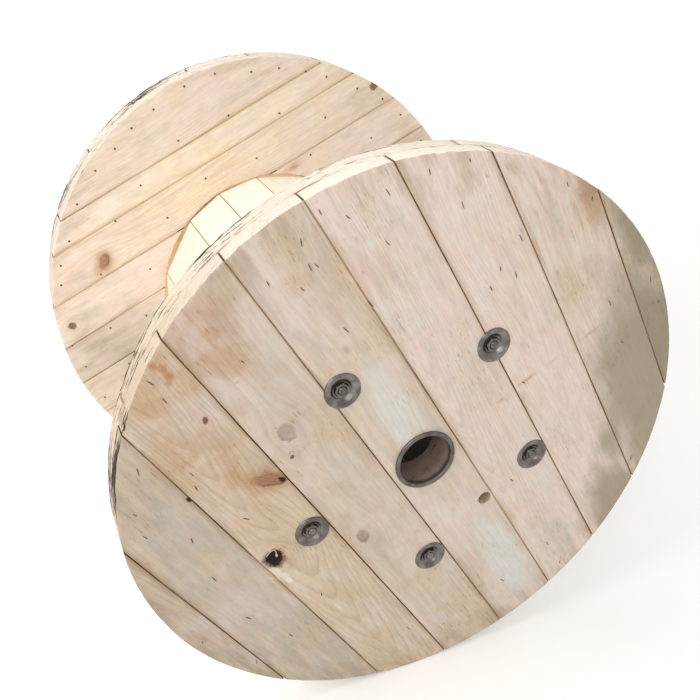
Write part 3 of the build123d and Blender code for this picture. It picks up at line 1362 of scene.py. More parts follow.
@dataclass
class Barrel:
    """The staves between the flanges, each a mitred flat board, and the dust in their grooves."""

    wood: bpy.types.Material
    dust: bpy.types.Material
    prefix: str = "stave_"
    stations: int = 90
    across: int = 14
    ease: float = 1.2 * MM
    planed: float = 0.2 * MM
    cup: float = 0.5 * MM
    bow: float = 0.25 * MM
    groove: float = 262.9 * MM
    flange: float = 355 * MM
    dust_top: float = 1.0 * MM
    dust_foot: float = 8 * MM
    dust_under: float = 1.5 * MM
    dust_stations: int = 15

    def build(self) -> None:
        """Build and dress every stave, and the dust."""
        nodes = sorted(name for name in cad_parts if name.startswith(self.prefix))
        for node in nodes:
            self.stave(node)
        self.grooves(nodes)

    def stave(self, node: str) -> None:
        """Build a stave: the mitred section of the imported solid, with eased corners, carried along Y.

        Args:
            node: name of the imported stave.
        """
        seed, section = seed_of(node), Section.of(node)
        outer, inner, half = section.outer, section.inner, section.outer_half
        face = np.linspace(-1, 1, self.across)
        slope = (half - section.inner_half) / (outer - inner)
        wall = np.array([half - 0.3 * self.ease, half - slope * self.ease])
        profile_wide = np.concatenate([
            face * (half - self.ease), wall, [section.inner_half, -section.inner_half], -wall[::-1]])
        cup = self.cup * face ** 2
        eased = np.array([outer - 0.9 * MM, outer - self.ease - 0.8 * MM])
        profile_high = np.concatenate([outer - self.planed - cup, eased, [inner, inner], eased[::-1]])
        y = np.linspace(*section.ends, self.stations)
        bow = self.bow * (1 + Ripple(seed, 0.5, 4).at(y, y * 0).clip(-1, 1))
        wander = self.bow * Ripple(seed + 2, 0.3, 4).at(y, y * 0).clip(-1, 1)
        grid_high = profile_high[None, :] - bow[:, None] * (profile_high > (outer + inner) / 2)
        grid_wide = profile_wide[None, :] * (1 - np.abs(wander[:, None]) / half)
        points = section.solid(grid_high, grid_wide, y[:, None])
        piece = new_piece(f"sawn_{node}", points.reshape(-1, 3), tube_faces(points.shape[:2]))
        self.dress(piece.data, seed, section)
        stand_for(piece, self.wood, "barrel_staves", node)

    def dress(self, mesh: bpy.types.Mesh, seed: int, section: Section) -> None:
        """Store what the wood shows: grain along Y, and pale weathered tones.

        Args:
            mesh: the stave.
            seed: seed of its log and tones.
            section: its section.
        """
        points = points_of(mesh)
        flat = points[:, [0, 2]] - (0.0, AXIS_HEIGHT)
        across, depth = flat @ section.side, section.outer - flat @ section.out
        along = points[:, 1]
        log = Log.seeded(seed)
        random = np.random.default_rng(seed + 21)
        flow = across + 3 * MM * Ripple(seed + 11, 0.4, 5).at(along, across)
        carry(mesh, "grain", along + log.shift, (flow - log.pith_across) * log.ring_scale,
              (log.pith_depth + depth + log.taper * along) * log.ring_scale)
        carry(mesh, "tone", random.uniform(-0.3, 0.2), random.uniform(0.0, 0.1), random.uniform(0.97, 1.04))
        carry(mesh, "knot", FAR_FROM_KNOT, FAR_FROM_KNOT, NO_KNOT)
        carry(mesh, "patina", 0.0, random.uniform(0.0, 0.1), 0.0)
        carry(mesh, "wear", section.outer_half - np.abs(across), 1.0, 0.0)
        carry(mesh, "rimwise", 0.0, along, 0.5)

    def grooves(self, nodes: list[str]) -> None:
        """Dust in both ring grooves: crescents from each flat stave out to the circle of the groove.

        Args:
            nodes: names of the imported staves.
        """
        dust = Blocks()
        levels = np.array([self.dust_top, self.dust_top, self.dust_foot, self.dust_foot])
        for node in nodes:
            section = Section.of(node)
            wide = np.linspace(-1, 1, self.dust_stations) * section.outer_half
            near = np.full(self.dust_stations, section.outer - self.dust_under)
            far = np.sqrt(self.groove ** 2 - wide ** 2)
            high = np.stack([near, far, far, near], axis=1)
            for end in (-1, 1):
                y = end * (self.flange + levels)
                points = section.solid(high, np.broadcast_to(wide[:, None], high.shape), y[None, :])
                dust.add(points, tube_faces(high.shape))
        piece = dust.piece("packed_dust_barrel_grooves")
        places = points_of(piece.data)
        turn = np.arctan2(places[:, 2] - AXIS_HEIGHT, places[:, 0])
        carry(piece.data, "tone", 0.75 + 0.3 * Ripple(41, 0.9, 6).at(np.cos(turn), np.sin(turn)), 0.0, 0.0)
        stand_for(piece, self.dust, "flange_boards")


@dataclass
class JointDust:
    """Dust and fibres packed between the boards of a layer, as strips a little below the shown face."""

    dust: bpy.types.Material
    into_board: float = 0.45 * MM
    flush: float = 1.0 * MM
    deepest: float = 1.9 * MM
    foot: float = 5 * MM
    from_rim: float = 3 * MM
    step: float = 8 * MM

    def build(self, layer: Layer, open_places: Array, paleness: tuple[float, ...] = ()) -> None:
        """All strips of one layer as one piece.

        A strip is a four-cornered profile carried along the joint. It lies deeper where it is darker.

        Args:
            layer: the boards.
            open_places: rows of X, Z from the axis and a radius, where no dust lies.
            paleness: paleness of each joint from the lowest one up, or nothing for seeded ones.
        """
        boards = sorted((Board(layer, node) for node in layer.nodes()), key=lambda board: board.low)
        random = np.random.default_rng(seed_of(layer.prefix) + 5)
        strips, shades = Blocks(), []
        for number, (board, following) in enumerate(zip(boards, boards[1:])):
            level = paleness[number] if paleness else random.uniform(0.45, 1.0)
            across = (board.high + following.low) / 2
            half = (following.low - board.high) / 2 + self.into_board
            reach = math.sqrt((RIM - self.from_rim) ** 2 - (abs(across) + half) ** 2)
            along = np.linspace(-reach, reach, max(5, round(2 * reach / self.step)))
            shade = (level + 0.22 * Ripple(board.seed + 13, 0.4, 5).at(along, along * 0)).clip(0, 1)
            place = layer.solid(along, np.full(along.shape, across), 0.0)[:, [0, 2]] - (0.0, AXIS_HEIGHT)
            gap = np.linalg.norm(place[:, None] - open_places[None, :, :2], axis=-1) - open_places[None, :, 2]
            kept = gap.min(axis=1) > 0
            for part in np.split(np.arange(len(along)), np.flatnonzero(np.diff(kept)) + 1):
                if not kept[part[0]] or len(part) < 2:
                    continue
                top = self.flush + (self.deepest - self.flush) * (1 - shade[part])
                foot = np.full(len(part), self.foot)
                sides = across + half * np.array([-1, 1, 1, -1])
                depth = np.stack([top, top, foot, foot], axis=1)
                points = board.place(np.broadcast_to(along[part, None], depth.shape),
                                     np.broadcast_to(sides, depth.shape), depth)
                strips.add(points, tube_faces(depth.shape))
                shades.append(np.repeat(shade[part], 4))
        piece = strips.piece(f"packed_dust_{layer.prefix}s")
        carry(piece.data, "tone", np.concatenate(shades), 0.0, 0.0)
        stand_for(piece, self.dust, "flange_boards")


@dataclass
class Sliver:
    """A torn thread of wood in the hollow knot, with a frayed end, as a round strip along a bent path."""

    wood: bpy.types.Material
    path: tuple[tuple[float, float, float], ...] = (
        (-44.5, -303.0, 0.9), (-46.0, -287.0, 1.4), (-26.5, -291.5, 6.6))
    thin: float = 0.7 * MM
    thick: float = 1.0 * MM
    frayed: float = 1.2 * MM
    stations: int = 36
    around: int = 10

    def build(self, layer: Layer) -> None:
        """Carry a ring along a parabola through three places along, across and below the shown face.

        Args:
            layer: the layer that it hangs in.
        """
        start, middle, end = np.array(self.path) * MM
        bend = 2 * middle - (start + end) / 2
        s = np.linspace(0, 1, self.stations)[:, None]
        line = (1 - s) ** 2 * start + 2 * s * (1 - s) * bend + s ** 2 * end
        run = np.gradient(line, axis=0)
        run /= np.linalg.norm(run, axis=1)[:, None]
        beside = np.cross(run, (0.0, 0.0, 1.0))
        beside /= np.linalg.norm(beside, axis=1)[:, None]
        upward = np.cross(beside, run)
        angle = steps_round(self.around)
        radius = self.thin + (self.thick - self.thin) * s + self.frayed * np.exp(-(((s - 0.96) / 0.06) ** 2))
        ring = beside[:, None] * np.cos(angle)[None, :, None] + upward[:, None] * np.sin(angle)[None, :, None]
        along, across, depth = np.moveaxis(line[:, None] + radius[:, None] * ring, -1, 0)
        points = Board(layer, layer.nodes()[0]).place(along, across, depth)
        piece = new_piece("torn_sliver", points.reshape(-1, 3), tube_faces(along.shape))
        stand_for(piece, self.wood, "flange_boards")


def turned(radius: Array, height: Array) -> tuple[Array, Array]:
    """Surface of a closed profile carried round a line.

    Args:
        radius: distances from the line, with one row of the profile for each step round it.
        height: heights of the profile.

    Returns:
        Points as radius along X and Y and height along Z, and four-sided faces.
    """
    angle = steps_round(len(radius))[:, None]
    points = np.stack([radius * np.cos(angle), radius * np.sin(angle),
                       np.broadcast_to(height, radius.shape)], axis=-1)
    index = np.arange(radius.size).reshape(radius.shape)
    index = np.concatenate([index, index[:1]], axis=0)
    index = np.concatenate([index, index[:, :1]], axis=1)
    return points.reshape(-1, 3), quads(index)


def rounded(corners: list[tuple[float, float, float]], steps: int = 5) -> Array:
    """A closed profile with arcs at its corners.

    Each corner has a radius: the arc is the parabola that leaves one side and meets the other at that
    distance from the corner.

    Args:
        corners: rows of radius, height and the corner's rounding.
        steps: points on each arc.

    Returns:
        Rows of radius and height.
    """
    places = np.array([corner[:2] for corner in corners])
    reach = np.array([corner[2] for corner in corners])
    before = np.roll(places, 1, axis=0) - places
    after = np.roll(places, -1, axis=0) - places
    starts = places + before / np.linalg.norm(before, axis=1)[:, None] * reach[:, None]
    ends = places + after / np.linalg.norm(after, axis=1)[:, None] * reach[:, None]
    share = np.linspace(0, 1, steps)[None, :, None]
    arcs = (1 - share) ** 2 * starts[:, None] + 2 * share * (1 - share) * places[:, None]
    flat = (arcs + share ** 2 * ends[:, None]).reshape(-1, 2)
    keep = np.linalg.norm(flat - np.roll(flat, 1, axis=0), axis=1) > SAME_PLACE
    return flat[keep]


@dataclass
class Bolting:
    """Tie rods with a nut and a cup washer at each end."""

    steel: bpy.types.Material
    washer_steel: bpy.types.Material
    circle: float = 221.5 * MM
    count: int = 5
    first: float = 130.6
    face: float = 419.4 * MM
    rod: float = 7 * MM
    thread_pitch: float = 2 * MM
    thread_run: float = 16 * MM
    thread_depth: float = 0.9 * MM
    thread_steps: int = 33
    rod_proud: float = 2.4 * MM
    rod_around: int = 28
    seat: float = 6.6 * MM
    nut_flats: float = 22 * MM
    nut_height: float = 7 * MM
    washer: float = 30 * MM
    washer_hole: float = 12.9 * MM
    collar: float = 4.4 * MM
    sheet: float = 2.4 * MM
    clearance: float = 0.05 * MM
    around: int = 72
    seed: int = 5

    def centres(self) -> Array:
        """X and Z of each rod."""
        angle = np.radians(self.first + np.arange(self.count) * 360 / self.count)
        return np.stack([self.circle * np.cos(angle), self.circle * np.sin(angle) + AXIS_HEIGHT], axis=-1)

    def at_ends(self, points: Array, faces: Array, turns: Array) -> Blocks:
        """Copies of a fitting at both ends of each rod.

        Args:
            points: the fitting, standing on the flange's face with Z outwards.
            faces: its four-sided faces.
            turns: angle of each copy about its rod.

        Returns:
            The copies, their faces pointing outwards.
        """
        copies = Blocks()
        ends = [(centre, side) for side in (-1, 1) for centre in self.centres()]
        for turn, ((x, z), side) in zip(turns, ends):
            c, s = math.cos(turn), math.sin(turn)
            u, v = points[:, 0] * c - points[:, 1] * s, points[:, 0] * s + points[:, 1] * c
            copy = np.stack([x + u, side * (self.face + points[:, 2]), z + v], axis=-1)
            copies.add(copy, outward(copy, faces).tolist())
        return copies

    def build(self) -> None:
        """Build washers, nuts and rods."""
        turns = np.random.default_rng(self.seed).uniform(0, 2 * np.pi, 2 * self.count)
        piece = self.at_ends(*self.cup_washer(), turns).piece("pressed_cup_washers", 60.0, True)
        stand_for(piece, self.washer_steel, "washer_steel", "cup_washers")
        piece = self.at_ends(*self.nut(), turns).piece("hexagon_nuts", 35.0, True)
        stand_for(piece, self.steel, "rod_steel", "nuts")
        piece = self.rods().piece("threaded_tie_rods", 50.0)
        stand_for(piece, self.steel, "rod_steel", "tie_rods")

    def cup_washer(self) -> tuple[Array, Array]:
        """Pressed sheet: a domed ring on the wood that rolls down into a bowl with a collar round the nut.

        Returns:
            Points and four-sided faces.
        """
        t, bowl = self.sheet, -self.seat - self.sheet + self.clearance
        profile = rounded([
            (self.washer_hole, -self.collar, 0.2 * MM), (14.4 * MM, -self.collar, 1.0 * MM),
            (20.6 * MM, 1.1 * MM, 3.6 * MM), (26.6 * MM, t + 0.5 * MM, 2.6 * MM),
            (29.4 * MM, t - 0.7 * MM, 0.9 * MM), (self.washer, self.clearance, 0.2 * MM),
            (21.0 * MM, self.clearance, 0.5 * MM), (17.6 * MM, bowl, 1.0 * MM),
            (self.washer_hole, bowl, 0.3 * MM)], 7)
        return turned(np.tile(profile[:, 0], (self.around, 1)), profile[:, 1])

    def nut(self) -> tuple[Array, Array]:
        """A hexagon nut: hexagonal rings whose corners are turned off at the top, with a plain bore.

        Returns:
            Points and four-sided faces.
        """
        sixth = np.pi / 3
        flats = self.nut_flats / 2 / np.cos((steps_round(self.around) + sixth / 2) % sixth - sixth / 2)
        bore = np.full(self.around, self.rod + 0.2 * MM)
        turned_off = np.minimum(flats, self.nut_flats / 2 + 0.1 * MM)
        foot, head = -self.seat, -self.seat + self.nut_height
        rings = [(bore, foot), (flats, foot), (flats, head - 1.3 * MM), (turned_off, head),
                 (bore + 0.8 * MM, head), (bore, head - 0.8 * MM)]
        radius = np.stack([ring for ring, _ in rings], axis=1)
        return turned(radius, np.array([level for _, level in rings]))

    def rods(self) -> Blocks:
        """Rods along Y: the radius is a triangle wave at the ends, as a thread, and tapers at the tips.

        Returns:
            The rods.
        """
        end = self.face + self.rod_proud
        run = np.linspace(end - self.thread_run, end - 1.2 * MM, self.thread_steps)
        teeth = self.rod - self.thread_depth * np.abs((run / self.thread_pitch) % 1 - 0.5) * 2
        tip = np.array([self.rod - 1.4 * MM, self.rod - 2.2 * MM, 0.4 * MM])
        half_y = np.concatenate([[0.0], run, [end - 0.3 * MM, end, end]])
        half_radius = np.concatenate([[self.rod], teeth, tip])
        y = np.concatenate([-half_y[:0:-1], half_y])[:, None]
        radius = np.concatenate([half_radius[:0:-1], half_radius])[:, None]
        angle = steps_round(self.rod_around)
        u, v = radius * np.cos(angle), radius * np.sin(angle)
        rods = Blocks()
        for x, z in self.centres():
            rods.add(np.stack([x + u, np.broadcast_to(y, u.shape), z + v], axis=-1), tube_faces(u.shape))
        return rods


@dataclass
class Bushes:
    """Steel sleeves with rolled lips through the middle of both flanges."""

    steel: bpy.types.Material
    bore: float = 46.5 * MM
    wall: float = 3 * MM
    depth: float = 64.4 * MM
    face: float = 419.4 * MM
    lip: float = 8.5 * MM
    proud: float = 4.2 * MM
    clearance: float = 0.1 * MM
    around: int = 128

    def build(self) -> None:
        """A sleeve profile with a half-round lip, turned about the drum's axis at both ends."""
        outer, lip, foot = self.bore + self.wall, self.bore + self.lip, -self.depth + 0.3 * MM
        profile = rounded([
            (self.bore, foot, 0.4 * MM), (outer, foot, 0.4 * MM), (outer, self.clearance, 0.2 * MM),
            (lip, self.clearance, 0.6 * MM), (lip, self.proud, 3.4 * MM),
            (self.bore, self.proud, 4.0 * MM)], 8)
        points, faces = turned(np.tile(profile[:, 0], (self.around, 1)), profile[:, 1])
        sleeves = Blocks()
        for side in (-1, 1):
            y = side * (self.face + points[:, 2])
            sleeve = np.stack([points[:, 0], y, points[:, 1] + AXIS_HEIGHT], axis=-1)
            sleeves.add(sleeve, outward(sleeve, faces).tolist())
        piece = sleeves.piece("rolled_spindle_bushes", 50.0, True)
        stand_for(piece, self.steel, "bush_steel", "spindle_bushes")


@dataclass(frozen=True)
class NailRing:
    """Nails on a circle about the axis."""

    radius: float
    count: int
    first: float


class NailEnd(Enum):
    """What shows of a nail: its head, or its point bent over along the grain."""

    HEAD = "heads"
    CLENCHED = "clenched"


@dataclass
class Nails:
    """The nails of the flanges: rings of heads inside, and of clenched points outside."""

    steel: bpy.types.Material
    rings: tuple[NailRing, ...] = (
        NailRing(478 * MM, 46, 39.2), NailRing(395 * MM, 22, 52.3), NailRing(305 * MM, 16, 71.2))
    stray: float = 7 * MM
    stray_turn: float = 1.1
    seated: float = 0.3 * MM
    root: float = 1.2 * MM
    around: int = 14
    shares: tuple[float, ...] = (0.04, 0.45, 0.8, 1.0, 1.0)
    shoulder: float = 0.15
    head: float = 2.3 * MM
    head_proud: float = 0.6 * MM
    clench_proud: float = 1.1 * MM
    clench_length: float = 10 * MM
    clench_width: float = 0.8 * MM

    def places(self, layer: Layer, share: float, seen: tuple[tuple[float, float], ...]) -> Array:
        """X and Z of each nail from the axis.

        Args:
            layer: the boards that the nails hold.
            share: share of the ring nails that show.
            seen: places along and across the layer, in millimetres, of nails that show besides.

        Returns:
            One row for each nail; those of the rings stray a little.
        """
        random = np.random.default_rng(seed_of(layer.prefix))
        along, across = np.array(seen).reshape(-1, 2).T * MM
        rows = [np.outer(along, layer.e) + np.outer(across, layer.n)]
        for ring in self.rings:
            turn = ring.first + np.arange(ring.count) * 360 / ring.count
            angle = np.radians(turn + random.normal(0, self.stray_turn, ring.count))
            radius = ring.radius + random.uniform(-1, 1, ring.count) * self.stray
            kept = random.random(ring.count) < share
            rows.append(np.stack([radius * np.cos(angle), radius * np.sin(angle)], axis=-1)[kept])
        return np.concatenate(rows)

    def dome(self, long: float, wide: float, proud: float) -> tuple[Array, list[list[int]]]:
        """A low dome over an oval: height falls with the fourth power of the share from the middle.

        Args:
            long: half length of the oval.
            wide: half width.
            proud: height of the dome.

        Returns:
            Points and faces, with the dome's root below zero.
        """
        shares = np.array(self.shares)[:, None]
        height = proud * (1 - shares ** 4)
        height[-2:, 0] = self.shoulder * proud, -self.root
        angle = steps_round(self.around)
        x, y = long * shares * np.cos(angle), wide * shares * np.sin(angle)
        points = np.stack([x, y, np.broadcast_to(height, x.shape)], axis=-1)
        return points.reshape(-1, 3), tube_faces(x.shape)

    def build(self, layer: Layer, end: NailEnd, share: float = 1.0,
              seen: tuple[tuple[float, float], ...] = ()) -> None:
        """All nails of one layer as one piece, seated on the shown face.

        Args:
            layer: the boards that the nails hold.
            end: which end of the nails shows.
            share: share of the ring nails that show.
            seen: places along and across the layer, in millimetres, of nails that show besides.
        """
        heads = end is NailEnd.HEAD
        long, wide = (self.head, self.head) if heads else (self.clench_length / 2, self.clench_width)
        points, faces = self.dome(long, wide, self.head_proud if heads else self.clench_proud)
        places = self.places(layer, share, seen)
        face_y = Board(layer, layer.nodes()[0]).face_y
        random = np.random.default_rng(seed_of(layer.prefix) + 1)
        turns = random.normal(0, 0.25, (len(places), 1))
        longer = 1.0 if heads else random.uniform(0.6, 1.5, (len(places), 1))
        e, n = layer.e, layer.n
        u = points[None, :, 0] * longer * np.cos(turns) - points[None, :, 1] * np.sin(turns)
        v = points[None, :, 0] * longer * np.sin(turns) + points[None, :, 1] * np.cos(turns)
        x = places[:, :1] + u * e[0] + v * n[0]
        z = places[:, 1:] + u * e[1] + v * n[1] + AXIS_HEIGHT
        y = np.broadcast_to(face_y + layer.facing * (points[None, :, 2] - self.seated), x.shape)
        nails = Blocks()
        for nail in np.stack([x, y, z], axis=-1):
            nails.add(nail, faces)
        piece = nails.piece(f"nail_{end.value}_{layer.prefix}s", 60.0)
        stand_for(piece, self.steel, "rod_steel")


@dataclass(frozen=True)
class AreaLamp:
    """A soft square lamp aimed at the drum."""

    name: str
    place: tuple[float, float, float]
    size: float
    power: float


@dataclass
class Studio:
    """Pale floor, white surround, soft lamps and the camera."""

    eye: tuple[float, float, float] = (-0.5303, -1.4049, 1.2985)
    azimuth: float = 24.3
    elevation: float = 34.45
    lens: float = 42.33
    sensor: float = 36.0
    far_end: float = 200.0
    shift: tuple[float, float] = (-0.0407, 0.1333)
    floor_half: float = 40.0
    floor_shade: str = "F4F3F1"
    floor_fade: tuple[float, float] = (0.6, 4.5)
    floor_lift: tuple[float, float] = (0.16, 0.46)
    ambient: float = 0.62
    lamps: tuple[AreaLamp, ...] = (
        AreaLamp("overhead_lamp", (-0.6, 0.4, 3.4), 2.4, 20.0),
        AreaLamp("side_lamp", (-2.3, -0.4, 2.5), 1.8, 38.0),
        AreaLamp("front_lamp", (-1.6, -3.2, 2.6), 2.6, 48.0))

    def build(self) -> None:
        """Set up the surround, the floor, the lamps and the camera."""
        scene = bpy.context.scene
        scene.view_settings.view_transform = "Standard"
        self.surround(scene)
        self.floor()
        for lamp in self.lamps:
            self.lamp(lamp)
        self.camera(scene)

    def surround(self, scene: bpy.types.Scene) -> None:
        """White where the camera or a reflection sees it, and softer as light.

        Args:
            scene: the scene that it surrounds.
        """
        world = bpy.data.worlds.new("white_surround")
        scene.world = world
        world.use_nodes = True
        g = Graph(world.node_tree)
        strength = g.seen() * (1 - self.ambient) + self.ambient
        glow = g.node("ShaderNodeBackground", {}, {"Color": WHITE, "Strength": strength})
        g.node("ShaderNodeOutputWorld", {}, {0: glow}, None)

    def floor(self) -> None:
        """A wide pale floor that keeps the drum's shadow, and looks white where the lamps don't reach."""
        half = self.floor_half
        corners = np.array([(-half, -half, 0.0), (half, -half, 0.0), (half, half, 0.0), (-half, half, 0.0)])
        floor = new_piece("floor", corners, [[0, 1, 2, 3]])
        g = Finish("pale_floor")
        x, y, _ = g.place().split()
        far = (x * x + y * y).root().fade(*self.floor_fade)
        lift = g.seen() * (self.floor_lift[0] + far * (self.floor_lift[1] - self.floor_lift[0]))
        g.feed("Base Color", tint(self.floor_shade))
        g.feed("Roughness", 0.9)
        g.feed("Specular IOR Level", 0.1)
        g.feed("Emission Strength", 1.0)
        g.feed("Emission Color", g.grey(lift))
        floor.data.materials.append(g.material)

    def lamp(self, lamp: AreaLamp) -> None:
        """Add one lamp, aimed at the middle of the drum.

        Args:
            lamp: the lamp.
        """
        light = bpy.data.lights.new(lamp.name, "AREA")
        light.size = lamp.size
        light.energy = lamp.power
        bulb = bpy.data.objects.new(lamp.name, light)
        bulb.location = lamp.place
        aim = Vector((0.0, 0.0, AXIS_HEIGHT)) - Vector(lamp.place)
        bulb.rotation_euler = aim.to_track_quat("-Z", "Y").to_euler()
        bpy.context.scene.collection.objects.link(bulb)

    def camera(self, scene: bpy.types.Scene) -> None:
        """The photograph's viewpoint.

        Args:
            scene: the scene that it shows.
        """
        data = bpy.data.cameras.new("camera")
        data.lens = self.lens
        data.sensor_width = self.sensor
        data.shift_x, data.shift_y = self.shift
        data.clip_end = self.far_end
        turn, tilt = math.radians(self.azimuth), math.radians(self.elevation)
        aim = Vector((math.sin(turn) * math.cos(tilt), math.cos(turn) * math.cos(tilt), -math.sin(tilt)))
        camera = bpy.data.objects.new("camera", data)
        camera.location = self.eye
        camera.rotation_euler = aim.to_track_quat("-Z", "Y").to_euler()
        scene.collection.objects.link(camera)
        scene.camera = camera


FRONT_TONES = {
    "lower_4": Tone(-0.4, 0.15, 0.79, 0.5), "lower_3": Tone(-0.3, 0.4, 0.87, 0.3),
    "lower_2": Tone(-0.5, 0.0, 0.94, 0.75), "lower_1": Tone(-0.1, 0.0, 0.92, 0.9),
    "middle": Tone(0.1, 0.15, 0.98, 0.5), "upper_1": Tone(0.5, 0.1, 1.04, 0.4),
    "upper_2": Tone(0.6, 0.05, 1.06, 0.35), "upper_3": Tone(0.3, 0.08, 1.04, 0.4),
    "upper_4": Tone(-0.3, 0.3, 0.92, 0.4)}
FRONT_KNOTS = (
    Knot(-0.220, -0.145, 0.016, 0.013, KnotKind.SOUND, 0.15),
    Knot(0.054, -0.162, 0.015, 0.010, KnotKind.SOUND, 0.1),
    Knot(-0.0305, -0.2945, 0.019, 0.017, KnotKind.HOLLOW, 0.5, 7 * MM),
    Knot(-0.168, -0.212, 0.026, 0.0125, KnotKind.RED, 0.8, askew=47),
    Knot(-0.153, -0.1985, 0.008, 0.004, KnotKind.HOLLOW, 0.3, 1 * MM, askew=20),
    Knot(-0.323, -0.221, 0.006, 0.0035, KnotKind.BROWN, 0.9, askew=-30),
    Knot(-0.176, -0.163, 0.0035, 0.0035, KnotKind.BROWN, 0.2),
    Knot(-0.231, -0.3185, 0.006, 0.005, KnotKind.HOLLOW, 0.2))
# The dampness entries on the right of the front flange, across 0.12 and more, together paint the shadow that
# lies over that side.
FRONT_PATCHES = (
    Patch(0.25, 0.435, 0.32, 0.125, damp_and_shadow=1.2), Patch(0.42, 0.27, 0.12, 0.07, stain=0.25, damp_and_shadow=1.1),
    Patch(0.26, 0.31, 0.08, 0.04, damp_and_shadow=0.75), Patch(0.37, 0.12, 0.17, 0.07, bleach=0.7, damp_and_shadow=0.36),
    Patch(-0.15, 0.49, 0.2, 0.05, damp_and_shadow=0.7), Patch(-0.24, 0.426, 0.075, 0.026, stain=0.7, damp_and_shadow=0.4),
    Patch(-0.438, -0.222, 0.011, 0.007, stain=0.9), Patch(-0.426, -0.215, 0.011, 0.007, stain=0.95),
    Patch(-0.412, -0.216, 0.010, 0.008, stain=1.0), Patch(-0.404, -0.222, 0.008, 0.008, stain=0.95),
    Patch(-0.449, -0.166, 0.035, 0.03, stain=0.5), Patch(-0.41, -0.12, 0.1, 0.06, stain=0.35),
    Patch(-0.21, -0.245, 0.08, 0.04, stain=0.5), Patch(-0.186, -0.229, 0.018, 0.012, stain=0.75),
    Patch(-0.332, -0.215, 0.014, 0.011, stain=0.6), Patch(-0.33, -0.25, 0.20, 0.10, stain=0.5),
    Patch(-0.42, -0.14, 0.15, 0.07, stain=0.48), Patch(-0.40, 0.0, 0.1, 0.07, stain=0.34),
    Patch(-0.10, 0.005, 0.16, 0.045, bleach=1.25), Patch(0.34, 0.02, 0.17, 0.05, bleach=1.3),
    Patch(0.15, 0.16, 0.2, 0.05, bleach=0.7), Patch(-0.1, 0.12, 0.3, 0.05, bleach=0.5),
    Patch(-0.008, -0.313, 0.022, 0.010, fresh=1.1, sink=1.4 * MM),
    Patch(0.022, -0.305, 0.020, 0.008, fresh=0.75, sink=0.8 * MM),
    Patch(-0.17, 0.34, 0.04, 0.02, stain=0.3), Patch(-0.272, -0.002, 0.013, 0.008, damp_and_shadow=0.6),
    Patch(-0.30, 0.01, 0.06, 0.035, damp_and_shadow=0.25), Patch(0.168, 0.048, 0.0135, 0.0135, fresh=1.15),
    Patch(-0.385, 0.108, 0.014, 0.010, bleach=0.9), Patch(-0.281, 0.144, 0.013, 0.012, bleach=0.9),
    Patch(0.002, 0.348, 0.0042, 0.03, stain=1.1), Patch(0.0, 0.27, 0.0042, 0.02, stain=0.6),
    Patch(-0.002, 0.22, 0.0042, 0.022, stain=0.85), Patch(-0.001, 0.16, 0.0042, 0.012, stain=0.7))
FRONT_NAILS = (
    (-387, -243), (-268, -390), (-225, -406), (-431, 164), (-418, 227), (-395, 284), (-438, 101), (-346, 248),
    (-191, 275), (-218, 257), (-135, -281), (-240, -300), (-323, -340), (155, 191), (175, 107),
    (-450, 31), (-413, 22), (-409, 31), (-394, -3), (-432, -36), (-361, -128), (-309, 64), (-1, 209))
FRONT_JOINTS = (0.15, 0.35, 0.12, 0.5, 0.62, 0.25, 0.55, 0.3)
BACK_KNOTS = (
    Knot(-0.294, 0.268, 0.016, 0.009, KnotKind.RED, 0.9, askew=40),
    Knot(-0.433, 0.185, 0.009, 0.008, KnotKind.BROWN, 0.3),
    Knot(0.405, 0.285, 0.010, 0.008, KnotKind.BROWN, 0.3),
    Knot(0.20, -0.30, 0.014, 0.011, KnotKind.BROWN, 0.4))
BACK_PATCHES = (
    Patch(-0.40, 0.1, 0.2, 0.2, damp_and_shadow=0.45), Patch(0.37, 0.26, 0.12, 0.08, damp_and_shadow=0.35),
    Patch(-0.28, 0.36, 0.05, 0.03, stain=0.4), Patch(0.15, 0.225, 0.05, 0.012, stain=0.9))
OUTSIDE_KNOTS = (
    Knot(0.21, 0.10, 0.016, 0.013, KnotKind.SOUND, 0.2),
    Knot(-0.30, -0.12, 0.018, 0.014, KnotKind.RED, 0.6),
    Knot(0.05, -0.25, 0.014, 0.012, KnotKind.BROWN, 0.5),
    Knot(-0.12, 0.27, 0.020, 0.015, KnotKind.SOUND, 0.2),
    Knot(0.33, -0.02, 0.012, 0.010, KnotKind.BROWN, 0.4))
FRONT_DIRT = RimDirt((
    (168, 10, 0.84), (184, 9, 0.36), (157, 3, 0.5), (143, 12, 0.2), (122, 8, 0.16), (95, 12, 0.14),
    (215, 30, 0.3)), 0.02)
FRONT_INNER_DIRT = RimDirt((
    (150, 14, 0.42), (126, 14, 0.36), (100, 14, 0.26), (171, 10, 0.66), (215, 30, 0.3)))
BACK_INNER_DIRT = RimDirt(((130, 25, 0.2),))
BACK_DIRT = RimDirt(((118, 16, 0.6), (150, 20, 0.5), (95, 8, 0.3)))
TORN_CHIP = (157.7, 7, 2.5, 12)


